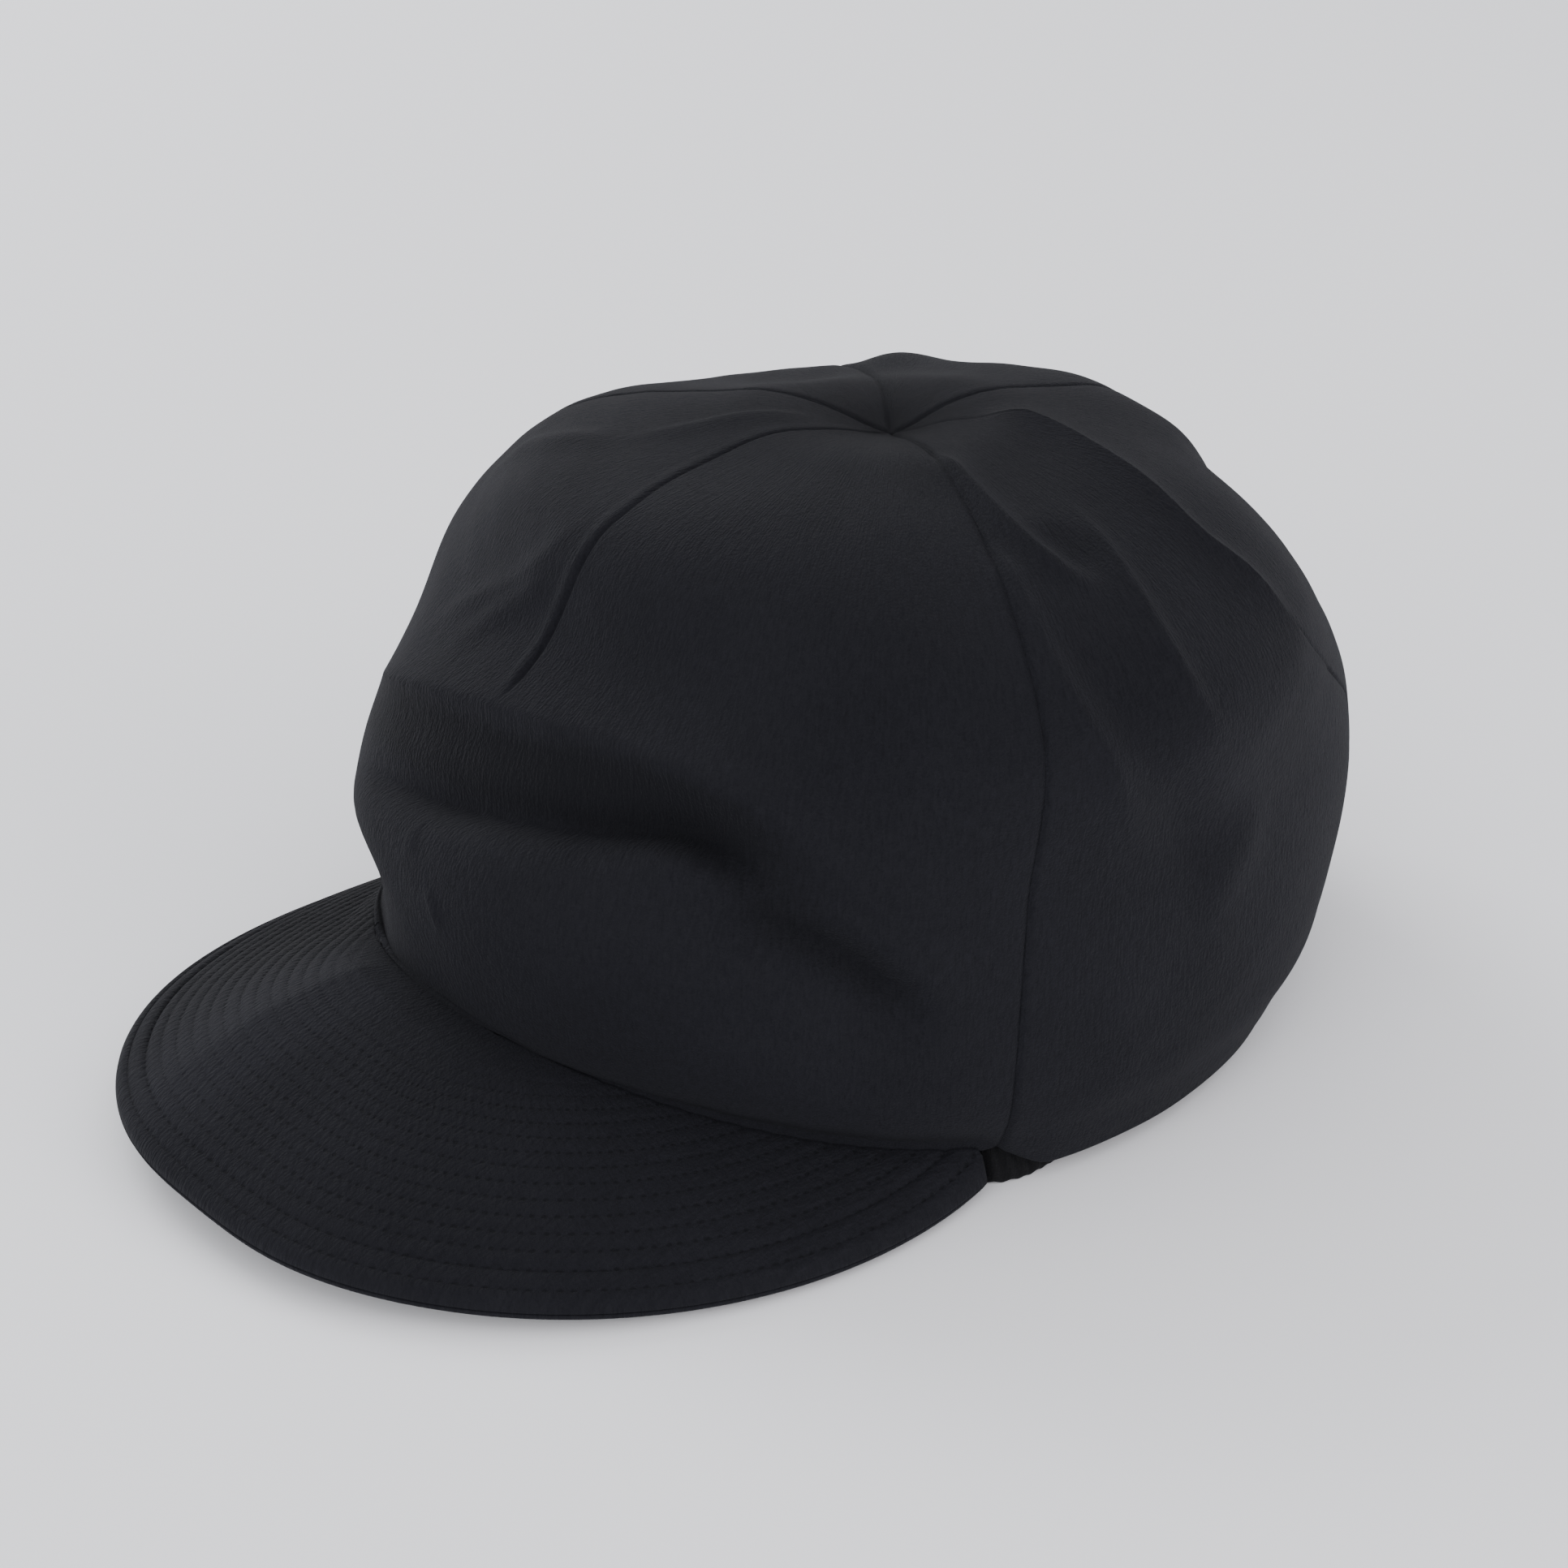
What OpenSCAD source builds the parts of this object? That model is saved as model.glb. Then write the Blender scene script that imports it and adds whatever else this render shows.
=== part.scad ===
// Soft work cap with a short curved visor and a removable bump insert.
// Origin: centre of the head opening, on the plane that the cap stands on. The visor points along -Y.
// Angles run round the head from the middle of the front, positive towards +X.

/* [Head opening] */
// Half width of the crown's hem
rim_half_w = 89; // [78:0.5:108]
// Half length of the crown's hem
rim_half_l = 98.5; // [86:0.5:120]
// Height of the hem over the ground at the sides and back
hem_h = 9.5; // [7:0.5:14]
// Height of the hem at the middle of the front
arch_h = 30; // [22:0.5:40]
// Angle from the front to each end of the visor
visor_end_angle = 73; // [60:1:80]

/* [Crown] */
// Height of the crown's top over the ground
crown_h = 127; // [105:1:155]
// How far the crown stands out past the hem at the sides
side_slack = 7.5; // [4:0.5:30]
// How far the crown stands out past the hem at the front
front_slack = 4.5; // [3:0.5:20]
// How far the crown stands out past the hem at the back
back_slack = 23.5; // [4:0.5:40]
// How far the top leans back
top_shift = 18; // [0:1:24]
// Thickness of the crown's fabric
fabric_t = 1.2; // [0.6:0.1:2]
// Angle from the front to the seam behind each side panel
rear_seam_angle = 117; // [100:1:135]
// Gap between neighbouring panels, as an angle
seam_gap_angle = 0.2; // [0.1:0.05:0.5]
// Radius that the panels leave free where they meet at the top
apex_r = 3; // [2:0.5:6]

/* [Seam tapes] */
// Width of a seam tape
tape_w = 10; // [6:0.5:12]
// Thickness of a seam tape
tape_t = 0.5; // [0.3:0.1:1]
// Radius of the patch under the top
patch_r = 14; // [8:1:16]

/* [Sweatband] */
// Height of the sweatband
band_h = 32; // [24:1:40]
// Thickness of the sweatband's fabric
band_cover_t = 0.8; // [0.5:0.1:1.2]
// Thickness of the foam in the sweatband
band_foam_t = 1.6; // [1:0.1:3]
// Clearance between the crown's hem and the sweatband
band_gap = 0.3; // [0.2:0.1:1]

/* [Back elastic] */
// Thickness of the elastic
elastic_t = 1.6; // [1:0.1:2.5]
// Thickness of the gathered casing round the elastic
casing_t = 0.9; // [0.5:0.1:1.5]
// Clearance between the casing and the hem above it
casing_gap = 0.3; // [0.2:0.1:1]
// Angle between a visor end and the elastic's end
elastic_end_angle = 1.5; // [1:0.5:10]

/* [Visor] */
// How far the visor's widest place stands out past the hem on each side
visor_side_out = 3.5; // [2:0.5:15]
// How far the visor stands out in front of the hem
visor_depth = 62; // [45:1:80]
// Height of the visor's tip over the ground
tip_h = 8.5; // [7:0.5:14]
// Height of the visor's edge at its widest
visor_side_h = 4.5; // [4:0.5:8]
// Rise of the visor's surface between hem and edge
visor_bulge = 2; // [0:0.5:5]
// Thickness of the visor's board
board_t = 1.6; // [1:0.1:2.2]
// Thickness of each visor cover
cover_t = 0.8; // [0.4:0.1:1]
// Clearance between the hem and the visor
visor_gap = 1; // [0.8:0.1:2]

/* [Bump insert] */
// Clearance between the insert and the sweatband at the sides
insert_gap = 4.5; // [3:0.5:8]
// Clearance between the insert's edge and the sweatband's top
insert_edge_gap = 1; // [0.5:0.5:4]
// Space between the insert's top and the crown's top
insert_top_gap = 15; // [8:1:25]
// Thickness of the insert's shell
shell_t = 1.8; // [1.2:0.1:3]
// Thickness of the foam pads
pad_t = 6; // [3:0.5:8]
// Thickness of the glue between shell and pads
glue_t = 0.6; // [0.5:0.1:1]
// Thickness of the trim round the shell's edge
bead_t = 0.9; // [0.6:0.1:1.5]
// Height of that trim on the shell
trim_h = 3; // [2:0.5:4]
// Diameter of a vent
vent_d = 9; // [5:0.5:12]
// Number of vents
vent_count = 10; // [6:1:14]
// Radius of the vent in the top
top_vent_r = 7; // [5:0.5:10]

/* [Hook-and-loop tabs] */
// Width of a tab
tab_w = 24; // [16:1:30]
// Height of a tab above the sweatband
tab_h = 18; // [14:1:22]
// Thickness of a tab's webbing
tab_t = 0.9; // [0.6:0.1:1.5]
// Thickness of a hook or loop patch
patch_t = 1; // [0.6:0.1:1.5]

/* [Hidden] */

contact_gap = 0.1;
touch_gap = 0.3;
// The crown's profile from hem to top: share of the height, then shares of the width, the front
// length and the back length. The hem itself is the first ring and the top is the last.
PROFILE = [
    [0.11, 1.00, 0.97, 0.98],
    [0.45, 0.99, 1.00, 1.00],
    [0.74, 1.00, 0.75, 0.75],
    [0.96, 0.58, 0.63, 0.53]
];
RINGS = len(PROFILE) + 1;
// The crown's wall stands up at least as far as the sweatband's top.
wall_share = max(PROFILE[1][0], (arch_h + band_h - hem_h) / (crown_h - hem_h));
function height_share(k) = k == 2 ? wall_share : PROFILE[k - 1][0];
crown_half_w = rim_half_w + side_slack;
crown_front = rim_half_l + front_slack;
crown_back = rim_half_l + back_slack;
hem_end_x = rim_half_w * sin(visor_end_angle);

band_mid_off = -(fabric_t + band_gap + band_cover_t + band_foam_t / 2);
band_half_t = band_foam_t / 2 + band_cover_t;
band_in_off = band_mid_off - band_half_t;
elastic_top = hem_h - casing_gap;
casing_half_t = elastic_t / 2 + contact_gap + casing_t;
casing_mid_off = -fabric_t - casing_half_t;
elastic_start = visor_end_angle + elastic_end_angle;

insert_a = rim_half_w + min(band_in_off, casing_mid_off - casing_half_t) - insert_gap;
insert_b = rim_half_l + min(band_in_off, casing_mid_off - casing_half_t) - insert_gap;
insert_z = hem_h + band_h + insert_edge_gap;
insert_rise = crown_h - insert_top_gap - insert_z;
pad_out = -shell_t - glue_t;
vent_ph = 52;
vent_rise = atan2(insert_rise * sin(vent_ph), (insert_a + insert_b) / 2 * cos(vent_ph));
tab_angles = [-135, -45, 45, 135];
tab_turn = tab_w / insert_a * 90 / PI;
hook_low = 6;
insert_turns = 40;
insert_rows = 10;
insert_top_ph = acos(top_vent_r / insert_a);
// How far the shell leans in over the height of its trim.
trim_lean = insert_b * trim_h / insert_rise * tan(insert_top_ph / insert_rows / 2);

visor_half_w = rim_half_w + visor_side_out;
visor_back_y = -rim_half_l * cos(visor_end_angle);
visor_mid_share = 0.63;
visor_mid_y = -visor_mid_share * rim_half_l;
visor_reach = rim_half_l + visor_depth + visor_mid_y;
visor_sweep = 90 + asin(min(1, (visor_back_y - visor_mid_y) / visor_reach));
visor_span = 0.99;
board_in = 0.03;
edge_seam = 0.96;

last_height = 0.94;
height_count = 20;
tape_low = 0.04;
dart_low = 0.46;
foam_inset = 1;
elastic_inset = 0.5;
elastic_end_inset = 1;
tab_foot = 8;
tab_bend = 2;
pad_turn = 38;
side_pad_turn = 32;
pad_low = 8;
pad_high = 44;
crown_pad_low = 61;
crown_pad_high = 82;

function unit(p) = p / norm(p);
function spline(a, b, c, d, t) = (2 * b + (c - a) * t + (2 * a - 5 * b + 4 * c - d) * t * t
    + (3 * b - a - 3 * c + d) * t * t * t) / 2;
function ellipse_r(a, b, th) = a * b / norm([b * sin(th), a * cos(th)]);
function hem_z(th) = arch_h - (arch_h - hem_h)
    * pow(cos(th) < cos(visor_end_angle) ? 1 : min(1, abs(rim_half_w * sin(th)) / hem_end_x), 2);

// Radius and height of ring k at angle th, with one ring more at each end for the spline.
function ring(th, k) =
    k < 0 ? 2 * ring(th, 0) - ring(th, 1)
    : k == 0 ? [ellipse_r(rim_half_w, rim_half_l, th), hem_z(th)]
    : k == RINGS ? [0, crown_h]
    : k > RINGS ? [-ring(th, RINGS - 1)[0], ring(th, RINGS - 1)[1]]
    : let (p = PROFILE[k - 1], length = cos(th) > 0 ? crown_front * p[2] : crown_back * p[3])
        [ellipse_r(crown_half_w * p[1], length, th),
         hem_h + (crown_h - hem_h) * height_share(k) + (k == 1 ? (hem_z(th) - hem_h) / 2 : 0)];
function profile_at(th, v) =
    let (k = min(RINGS - 1, floor(v * RINGS)), t = v * RINGS - k)
        spline(ring(th, k - 1), ring(th, k), ring(th, k + 1), ring(th, k + 2), t);
function crown_skin(th, v) =
    let (p = profile_at(th, v))
        [p[0] * sin(th), -p[0] * cos(th) + top_shift * v * v, p[1]];
function crown_normal(th, v) = unit(cross(
    crown_skin(th + 1, v) - crown_skin(th - 1, v),
    crown_skin(th, min(0.99, v + 0.01)) - crown_skin(th, max(0, v - 0.01))));
function crown_pt(th, v, depth) = crown_skin(th, v) - depth * crown_normal(th, v);
apex_v = 1 - apex_r / (RINGS * crown_half_w * PROFILE[len(PROFILE) - 1][1]);

function insert_pt(th, ph, out) = [
    (insert_a + out) * cos(ph) * sin(th),
    -(insert_b + out) * cos(ph) * cos(th),
    insert_z + (insert_rise + out) * sin(ph)];
function insert_ph(z) = asin((z - insert_z) / insert_rise);

// A point of the visor: turn runs from -1 to 1 across it and out from 0 at the hem to 1 at the edge.
function visor_pt(turn, out, depth) =
    let (
        th = turn * visor_end_angle,
        t = turn * visor_sweep,
        hem = [(rim_half_w + visor_gap) * sin(th), -(rim_half_l + visor_gap) * cos(th),
            hem_z(th) - touch_gap],
        edge = [visor_half_w * sin(t), visor_mid_y - visor_reach * cos(t),
            tip_h - (tip_h - visor_side_h) * pow(sin(t), 2)],
        p = hem + (edge - hem) * out
    ) [p[0], p[1], p[2] + visor_bulge * sin(180 * out) * cos(turn * 90) - depth];

function steps(a, b, n) = [for (i = [0 : n]) a + (b - a) * i / n];
crown_heights = steps(0, last_height, height_count);
function flatten(rows) = [for (row = rows) each row];

// A sheet of material between two grids of points. wrap joins its last column to its first.
module slab(outer, inner, wrap = false) {
    rows = len(outer);
    cols = len(outer[0]);
    n = rows * cols;
    last = wrap ? cols : cols - 1;
    function at(i, j) = i * cols + j % cols;
    polyhedron(concat(flatten(outer), flatten(inner)), concat(
        [for (i = [0 : rows - 2], j = [0 : last - 1]) each [
            [at(i, j), at(i + 1, j), at(i + 1, j + 1)],
            [at(i, j), at(i + 1, j + 1), at(i, j + 1)],
            [n + at(i, j), n + at(i + 1, j + 1), n + at(i + 1, j)],
            [n + at(i, j), n + at(i, j + 1), n + at(i + 1, j + 1)]]],
        [for (j = [0 : last - 1]) each [
            [at(0, j), at(0, j + 1), n + at(0, j + 1)],
            [at(0, j), n + at(0, j + 1), n + at(0, j)],
            [at(rows - 1, j + 1), at(rows - 1, j), n + at(rows - 1, j)],
            [at(rows - 1, j + 1), n + at(rows - 1, j), n + at(rows - 1, j + 1)]]],
        [for (i = [0 : rows - 2]) each wrap ? [] : [
            [at(i + 1, 0), at(i, 0), n + at(i, 0)],
            [at(i + 1, 0), n + at(i, 0), n + at(i + 1, 0)],
            [at(i, last), at(i + 1, last), n + at(i + 1, last)],
            [at(i, last), n + at(i + 1, last), n + at(i, last)]]]
    ));
}

// A strip with one cross-section that follows the hem's ellipse. A section point is the distance out
// from the hem and the height, and section points run clockwise as seen from the strip's first end.
module strip(section, a, b, start, end, n, follow_hem = false) {
    m = len(section);
    closed = end - start == 360;
    turns = [for (i = [0 : closed ? n - 1 : n]) start + (end - start) * i / n];
    count = len(turns);
    function at(i, k) = (i % count) * m + k % m;
    polyhedron(
        [for (th = turns, p = section)
            [(a + p[0]) * sin(th), -(b + p[0]) * cos(th), p[1] + (follow_hem ? hem_z(th) : 0)]],
        concat(
            [for (i = [0 : closed ? n - 1 : n - 1], k = [0 : m - 1]) each [
                [at(i, k), at(i + 1, k + 1), at(i, k + 1)],
                [at(i, k), at(i + 1, k), at(i + 1, k + 1)]]],
            closed ? [] : [[for (k = [0 : m - 1]) k]],
            closed ? [] : [[for (k = [m - 1 : -1 : 0]) (count - 1) * m + k]]
        )
    );
}

function box_section(mid, half_t, low, high) = [
    [mid - half_t, low], [mid - half_t, high], [mid + half_t, high], [mid + half_t, low]];
// A folded strip, open at the top.
function fold_section(mid, half_t, wall, low, high) = [
    [mid - half_t, low], [mid - half_t, high], [mid - half_t + wall, high],
    [mid - half_t + wall, low + wall], [mid + half_t - wall, low + wall],
    [mid + half_t - wall, high], [mid + half_t, high], [mid + half_t, low]];

// How far a flat facet of the front panel cuts in from the true curve.
front_facets = 26;
panel_sag = crown_half_w * (1 - cos(visor_end_angle / front_facets));

module crown_panel(start, end, n) {
    turns = steps(start + seam_gap_angle / 2, end - seam_gap_angle / 2, n);
    heights = concat(crown_heights, [apex_v]);
    slab(
        [for (v = heights) [for (th = turns) crown_pt(th, v, 0)]],
        [for (v = heights) [for (th = turns) crown_pt(th, v, fabric_t)]]
    );
}

module seam_tape(th, low = tape_low) {
    heights = [for (v = crown_heights) if (v > low) v];
    depth = fabric_t + touch_gap + panel_sag;
    function half_turn(v) = tape_w * 90 / PI / profile_at(th, v)[0];
    function line(v, d) = [for (side = [-1, 0, 1]) crown_pt(th + side * half_turn(v), v, d)];
    slab([for (v = heights) line(v, depth)], [for (v = heights) line(v, depth + tape_t)]);
}

module insert_slab(start, end, low, high, out, t, n, m) {
    wrap = end - start == 360;
    turns = [for (i = [0 : wrap ? n - 1 : n]) start + (end - start) * i / n];
    slab(
        [for (ph = steps(low, high, m)) [for (th = turns) insert_pt(th, ph, out)]],
        [for (ph = steps(low, high, m)) [for (th = turns) insert_pt(th, ph, out - t)]],
        wrap
    );
}

module visor_slab(top, bottom, inset, rim_top, rim_bottom) {
    outs = concat(steps(inset, edge_seam - inset, 6), inset > 0 ? [] : [1]);
    turns = steps(-visor_span, visor_span, 32);
    function depth(out, mid, rim) = out > edge_seam ? rim : mid;
    slab(
        [for (o = outs) [for (u = turns) visor_pt(u, o, depth(o, bottom, rim_bottom))]],
        [for (o = outs) [for (u = turns) visor_pt(u, o, depth(o, top, rim_top))]]
    );
}

module front_panel() { color("#2d2e35") crown_panel(-visor_end_angle, visor_end_angle, front_facets); }
module right_side_panel() { color("#302f37") crown_panel(visor_end_angle, rear_seam_angle, 9); }
module left_side_panel() { color("#2b2c33") crown_panel(-rear_seam_angle, -visor_end_angle, 9); }
module right_rear_panel() { color("#2e2e35") crown_panel(rear_seam_angle, 180, 12); }
module left_rear_panel() { color("#2c2d34") crown_panel(-180, -rear_seam_angle, 12); }

module front_dart_tape() { color("#1d1e22") seam_tape(0, dart_low); }
module right_front_seam_tape() { color("#1d1e22") seam_tape(visor_end_angle); }
module left_front_seam_tape() { color("#1d1e22") seam_tape(-visor_end_angle); }
module right_rear_seam_tape() { color("#1d1e22") seam_tape(rear_seam_angle); }
module left_rear_seam_tape() { color("#1d1e22") seam_tape(-rear_seam_angle); }
module back_seam_tape() { color("#1d1e22") seam_tape(180); }
module apex_patch() {
    color("#1d1e22")
    translate([0, top_shift, crown_h - fabric_t - 2 * touch_gap - panel_sag - tape_t])
    cylinder(r = patch_r, h = tape_t, $fn = 48);
}

module sweatband() {
    color("#25262b")
    strip(fold_section(band_mid_off, band_half_t, band_cover_t, touch_gap, band_h),
        rim_half_w, rim_half_l, 0, 360, 72, true);
}
module sweatband_foam() {
    color("#55565b")
    strip(box_section(band_mid_off, band_foam_t / 2, touch_gap + band_cover_t, band_h - foam_inset),
        rim_half_w, rim_half_l, 0, 360, 72, true);
}

// A tab leans in from the sweatband's inner face and then follows the insert.
module tab_piece(angle, low, low_out, t, lean) {
    foot_z = hem_z(angle) + band_h;
    top_ph = insert_ph(foot_z + tab_h);
    mid_ph = insert_ph(foot_z + hook_low);
    turns = steps(angle - tab_turn, angle + tab_turn, 4);
    function foot(th, out, z) = [(rim_half_w + out) * sin(th), -(rim_half_l + out) * cos(th), z];
    function face(out) = concat(
        lean ? [[for (th = turns) foot(th, band_in_off - touch_gap + out - low_out - t, foot_z - low)],
            [for (th = turns) foot(th, band_in_off - touch_gap + out - low_out - t, foot_z - tab_bend)]] : [],
        [for (ph = steps(mid_ph, top_ph, 3)) [for (th = turns) insert_pt(th, ph, out)]]);
    slab(face(low_out + t), face(low_out));
}
module retaining_tabs() {
    color("#1c1c20")
    for (angle = tab_angles) tab_piece(angle, tab_foot, 2 * patch_t + 3 * touch_gap, tab_t, true);
}
module loop_patches() {
    color("#3a3a40")
    for (angle = tab_angles) tab_piece(angle, 0, patch_t + 2 * touch_gap, patch_t, false);
}
module hook_patches() {
    color("#101012")
    for (angle = tab_angles) tab_piece(angle, 0, contact_gap, patch_t, false);
}

module back_elastic() {
    color("#141416")
    strip(box_section(casing_mid_off, elastic_t / 2, casing_t + contact_gap, elastic_top - elastic_inset),
        rim_half_w, rim_half_l, elastic_start + elastic_end_inset, 360 - elastic_start - elastic_end_inset, 48);
}
module elastic_casing() {
    color("#1a1a1d")
    strip(fold_section(casing_mid_off, casing_half_t, casing_t, 0, elastic_top),
        rim_half_w, rim_half_l, elastic_start, 360 - elastic_start, 60);
}

module visor_board() {
    color("#17181a")
    visor_slab(cover_t + contact_gap, cover_t + contact_gap + board_t, board_in, 0, 0);
}
module visor_top_cover() {
    color("#2f3037")
    visor_slab(0, cover_t, 0, 0, cover_t + board_t / 2);
}
module visor_under_cover() {
    color("#2a2b31")
    visor_slab(cover_t + 2 * contact_gap + board_t, 2 * cover_t + 2 * contact_gap + board_t, 0,
        cover_t + contact_gap + board_t / 2, 2 * cover_t + 2 * contact_gap + board_t);
}

module insert_shell() {
    color("#3b3d42")
    difference() {
        insert_slab(0, 360, 0, insert_top_ph, 0, shell_t, insert_turns, insert_rows);
        for (i = [0 : vent_count - 1])
            translate([0, 0, insert_z])
            rotate([0, 0, (i + 0.5) * 360 / vent_count])
            rotate([90 - vent_rise, 0, 0])
            cylinder(d = vent_d, h = insert_b * 2, $fn = 32);
    }
}
module insert_edge_trim() {
    color("#141416")
    strip(fold_section(-shell_t / 2, shell_t / 2 + contact_gap + trim_lean + bead_t, bead_t,
        insert_z - bead_t - contact_gap, insert_z + trim_h), insert_a, insert_b, 0, 360, insert_turns);
}
module foam_pad(middle, turn, n) {
    color("#4a4b50") insert_slab(middle - turn, middle + turn, pad_low, pad_high, pad_out, pad_t, n, 4);
}
module front_pad() { foam_pad(0, pad_turn, 8); }
module rear_pad() { foam_pad(180, pad_turn, 8); }
module right_pad() { foam_pad(90, side_pad_turn, 6); }
module left_pad() { foam_pad(-90, side_pad_turn, 6); }
module crown_pad() { color("#4a4b50") insert_slab(0, 360, crown_pad_low, crown_pad_high, pad_out, pad_t, 24, 3); }

front_panel();
right_side_panel();
left_side_panel();
right_rear_panel();
left_rear_panel();
front_dart_tape();
right_front_seam_tape();
left_front_seam_tape();
right_rear_seam_tape();
left_rear_seam_tape();
back_seam_tape();
apex_patch();
sweatband();
sweatband_foam();
retaining_tabs();
loop_patches();
back_elastic();
elastic_casing();
visor_board();
visor_top_cover();
visor_under_cover();
insert_shell();
insert_edge_trim();
hook_patches();
front_pad();
rear_pad();
right_pad();
left_pad();
crown_pad();
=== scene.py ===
import math
import bpy
import numpy as np
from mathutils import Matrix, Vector


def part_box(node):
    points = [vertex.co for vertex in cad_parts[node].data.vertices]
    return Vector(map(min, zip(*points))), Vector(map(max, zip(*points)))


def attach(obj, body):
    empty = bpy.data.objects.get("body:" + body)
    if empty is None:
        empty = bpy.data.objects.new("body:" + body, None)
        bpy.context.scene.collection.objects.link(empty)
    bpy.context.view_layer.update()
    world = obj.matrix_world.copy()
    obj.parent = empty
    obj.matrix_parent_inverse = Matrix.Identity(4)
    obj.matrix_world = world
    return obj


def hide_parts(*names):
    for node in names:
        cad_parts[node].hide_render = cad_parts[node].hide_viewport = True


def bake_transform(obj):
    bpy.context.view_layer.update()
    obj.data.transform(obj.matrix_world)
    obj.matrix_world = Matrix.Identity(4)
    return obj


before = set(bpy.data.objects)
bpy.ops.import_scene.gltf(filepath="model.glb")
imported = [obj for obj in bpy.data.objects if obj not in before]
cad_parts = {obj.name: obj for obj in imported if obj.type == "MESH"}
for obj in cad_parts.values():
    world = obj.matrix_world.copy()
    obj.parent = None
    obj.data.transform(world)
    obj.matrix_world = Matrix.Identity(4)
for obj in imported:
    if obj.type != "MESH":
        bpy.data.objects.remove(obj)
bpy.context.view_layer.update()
bpy.ops.object.select_all(action="DESELECT")

mm = 0.001


def ease(t):
    return t * t * (3 - 2 * t)


def hump(x, at, reach):
    return np.exp(-((x - at) / reach) ** 2)


def boxOf(*nodes):
    lows = [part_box(node)[0] for node in nodes]
    highs = [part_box(node)[1] for node in nodes]
    low = [min(p[i] for p in lows) / mm for i in range(3)]
    high = [max(p[i] for p in highs) / mm for i in range(3)]
    return low, high


cameraPlace = {
    "azimuth": 51.2,      # degrees from the front towards +X
    "elevation": 25.9,
    "distance": 0.695,
    "aim": (-0.0014, -0.0094, 0.0497),
    "lens": 75,
}


def placeCamera():
    a = math.radians(cameraPlace["azimuth"])
    e = math.radians(cameraPlace["elevation"])
    back = Vector((math.sin(a) * math.cos(e), -math.cos(a) * math.cos(e), math.sin(e)))
    bpy.ops.object.camera_add(location=Vector(cameraPlace["aim"]) + back * cameraPlace["distance"])
    camera = bpy.context.object
    camera.rotation_euler = back.to_track_quat("Z", "Y").to_euler()
    camera.data.lens = cameraPlace["lens"]
    camera.data.sensor_width = 36
    bpy.context.scene.camera = camera


placeCamera()
print("camera placed")


sweatLow, sweatHigh = boxOf("sweatband")
panelLow, panelHigh = boxOf("front_panel", "right_side_panel", "right_rear_panel")
visorLow, visorHigh = boxOf("visor_top_cover")
shape = {                                  # millimetres and degrees
    "hemHalfWidth": sweatHigh[0] + 1.5,
    "hemHalfLength": sweatHigh[1] + 1.5,
    "hemHeight": panelLow[2],
    "archHeight": 30.0,                    # the hem's height at the middle of the front
    "height": panelHigh[2],
    "sideSlack": 7.5,
    "frontSlack": 4.5,
    "backSlack": 23.5,
    "topShift": 18.0,                      # the top lies behind the middle of the hem
    "visorEnd": 73.0,
    # four rings between hem and top: share of the height, of the width, of the front and of the back length
    "profile": [(0.11, 1.00, 0.97, 0.98), (0.45, 0.99, 1.00, 1.00),
                (0.74, 1.00, 0.75, 0.75), (0.96, 0.58, 0.63, 0.53)],
    "topSpan": 280.0,                      # near the top, this much radius would be one whole v
    "meanRadius": 95.0, "runUp": 205.0,    # the cloth's size round and up, for its weave
    "girth": 0.1, "cutHeight": 0.21,       # a panel as cut, in metres: width for each radian, and height
}
spans = len(shape["profile"]) + 1


def ellipseRadius(a, b, th):
    return a * b / np.hypot(b * np.sin(th), a * np.cos(th))


def hemHeightAt(th):
    end = math.radians(shape["visorEnd"])
    share = np.where(np.cos(th) < math.cos(end), 1, np.minimum(1, np.abs(np.sin(th)) / math.sin(end)))
    return shape["archHeight"] - (shape["archHeight"] - shape["hemHeight"]) * share ** 2


def ringAt(th, k):
    # radius and height of one ring; a ring beyond either end carries the curve on
    if k < 0:
        return [2 * a - b for a, b in zip(ringAt(th, 0), ringAt(th, 1))]
    if k == 0:
        return [ellipseRadius(shape["hemHalfWidth"], shape["hemHalfLength"], th), hemHeightAt(th)]
    if k == spans:
        return [0 * th, shape["height"] + 0 * th]
    if k > spans:
        radius, z = ringAt(th, spans - 1)
        return [-radius, z]
    heightShare, widthShare, frontShare, backShare = shape["profile"][k - 1]
    front = (shape["hemHalfLength"] + shape["frontSlack"]) * frontShare
    rear = (shape["hemHalfLength"] + shape["backSlack"]) * backShare
    width = (shape["hemHalfWidth"] + shape["sideSlack"]) * widthShare
    z = shape["hemHeight"] + (shape["height"] - shape["hemHeight"]) * heightShare + 0 * th
    if k == 1:
        z = z + (hemHeightAt(th) - shape["hemHeight"]) / 2
    return [ellipseRadius(width, np.where(np.cos(th) > 0, front, rear), th), z]


def crownSkin(angle, v):
    # points of the crown before its folds: angle in degrees round the head, v from 0 at the hem to 1 on top
    angle, v = np.broadcast_arrays(np.asarray(angle, float), np.asarray(v, float))
    th = np.radians(angle)
    rings = np.array([ringAt(th, k) for k in range(-1, spans + 2)])
    k = np.clip(np.floor(v * spans).astype(int), 0, spans - 1)
    t = v * spans - k
    a, b, c, d = (np.take_along_axis(rings, (k + i)[None, None], 0)[0] for i in range(4))
    curve = (2 * a - 5 * b + 4 * c - d) * t ** 2 + (3 * b - a - 3 * c + d) * t ** 3
    radius, z = (2 * b + (c - a) * t + curve) / 2
    return np.stack([radius * np.sin(th), -radius * np.cos(th) + shape["topShift"] * v ** 2, z], -1)


def radiusOf(points, v):
    # distance from the middle, seen from above
    return np.hypot(points[..., 0], points[..., 1] - shape["topShift"] * v ** 2)


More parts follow.
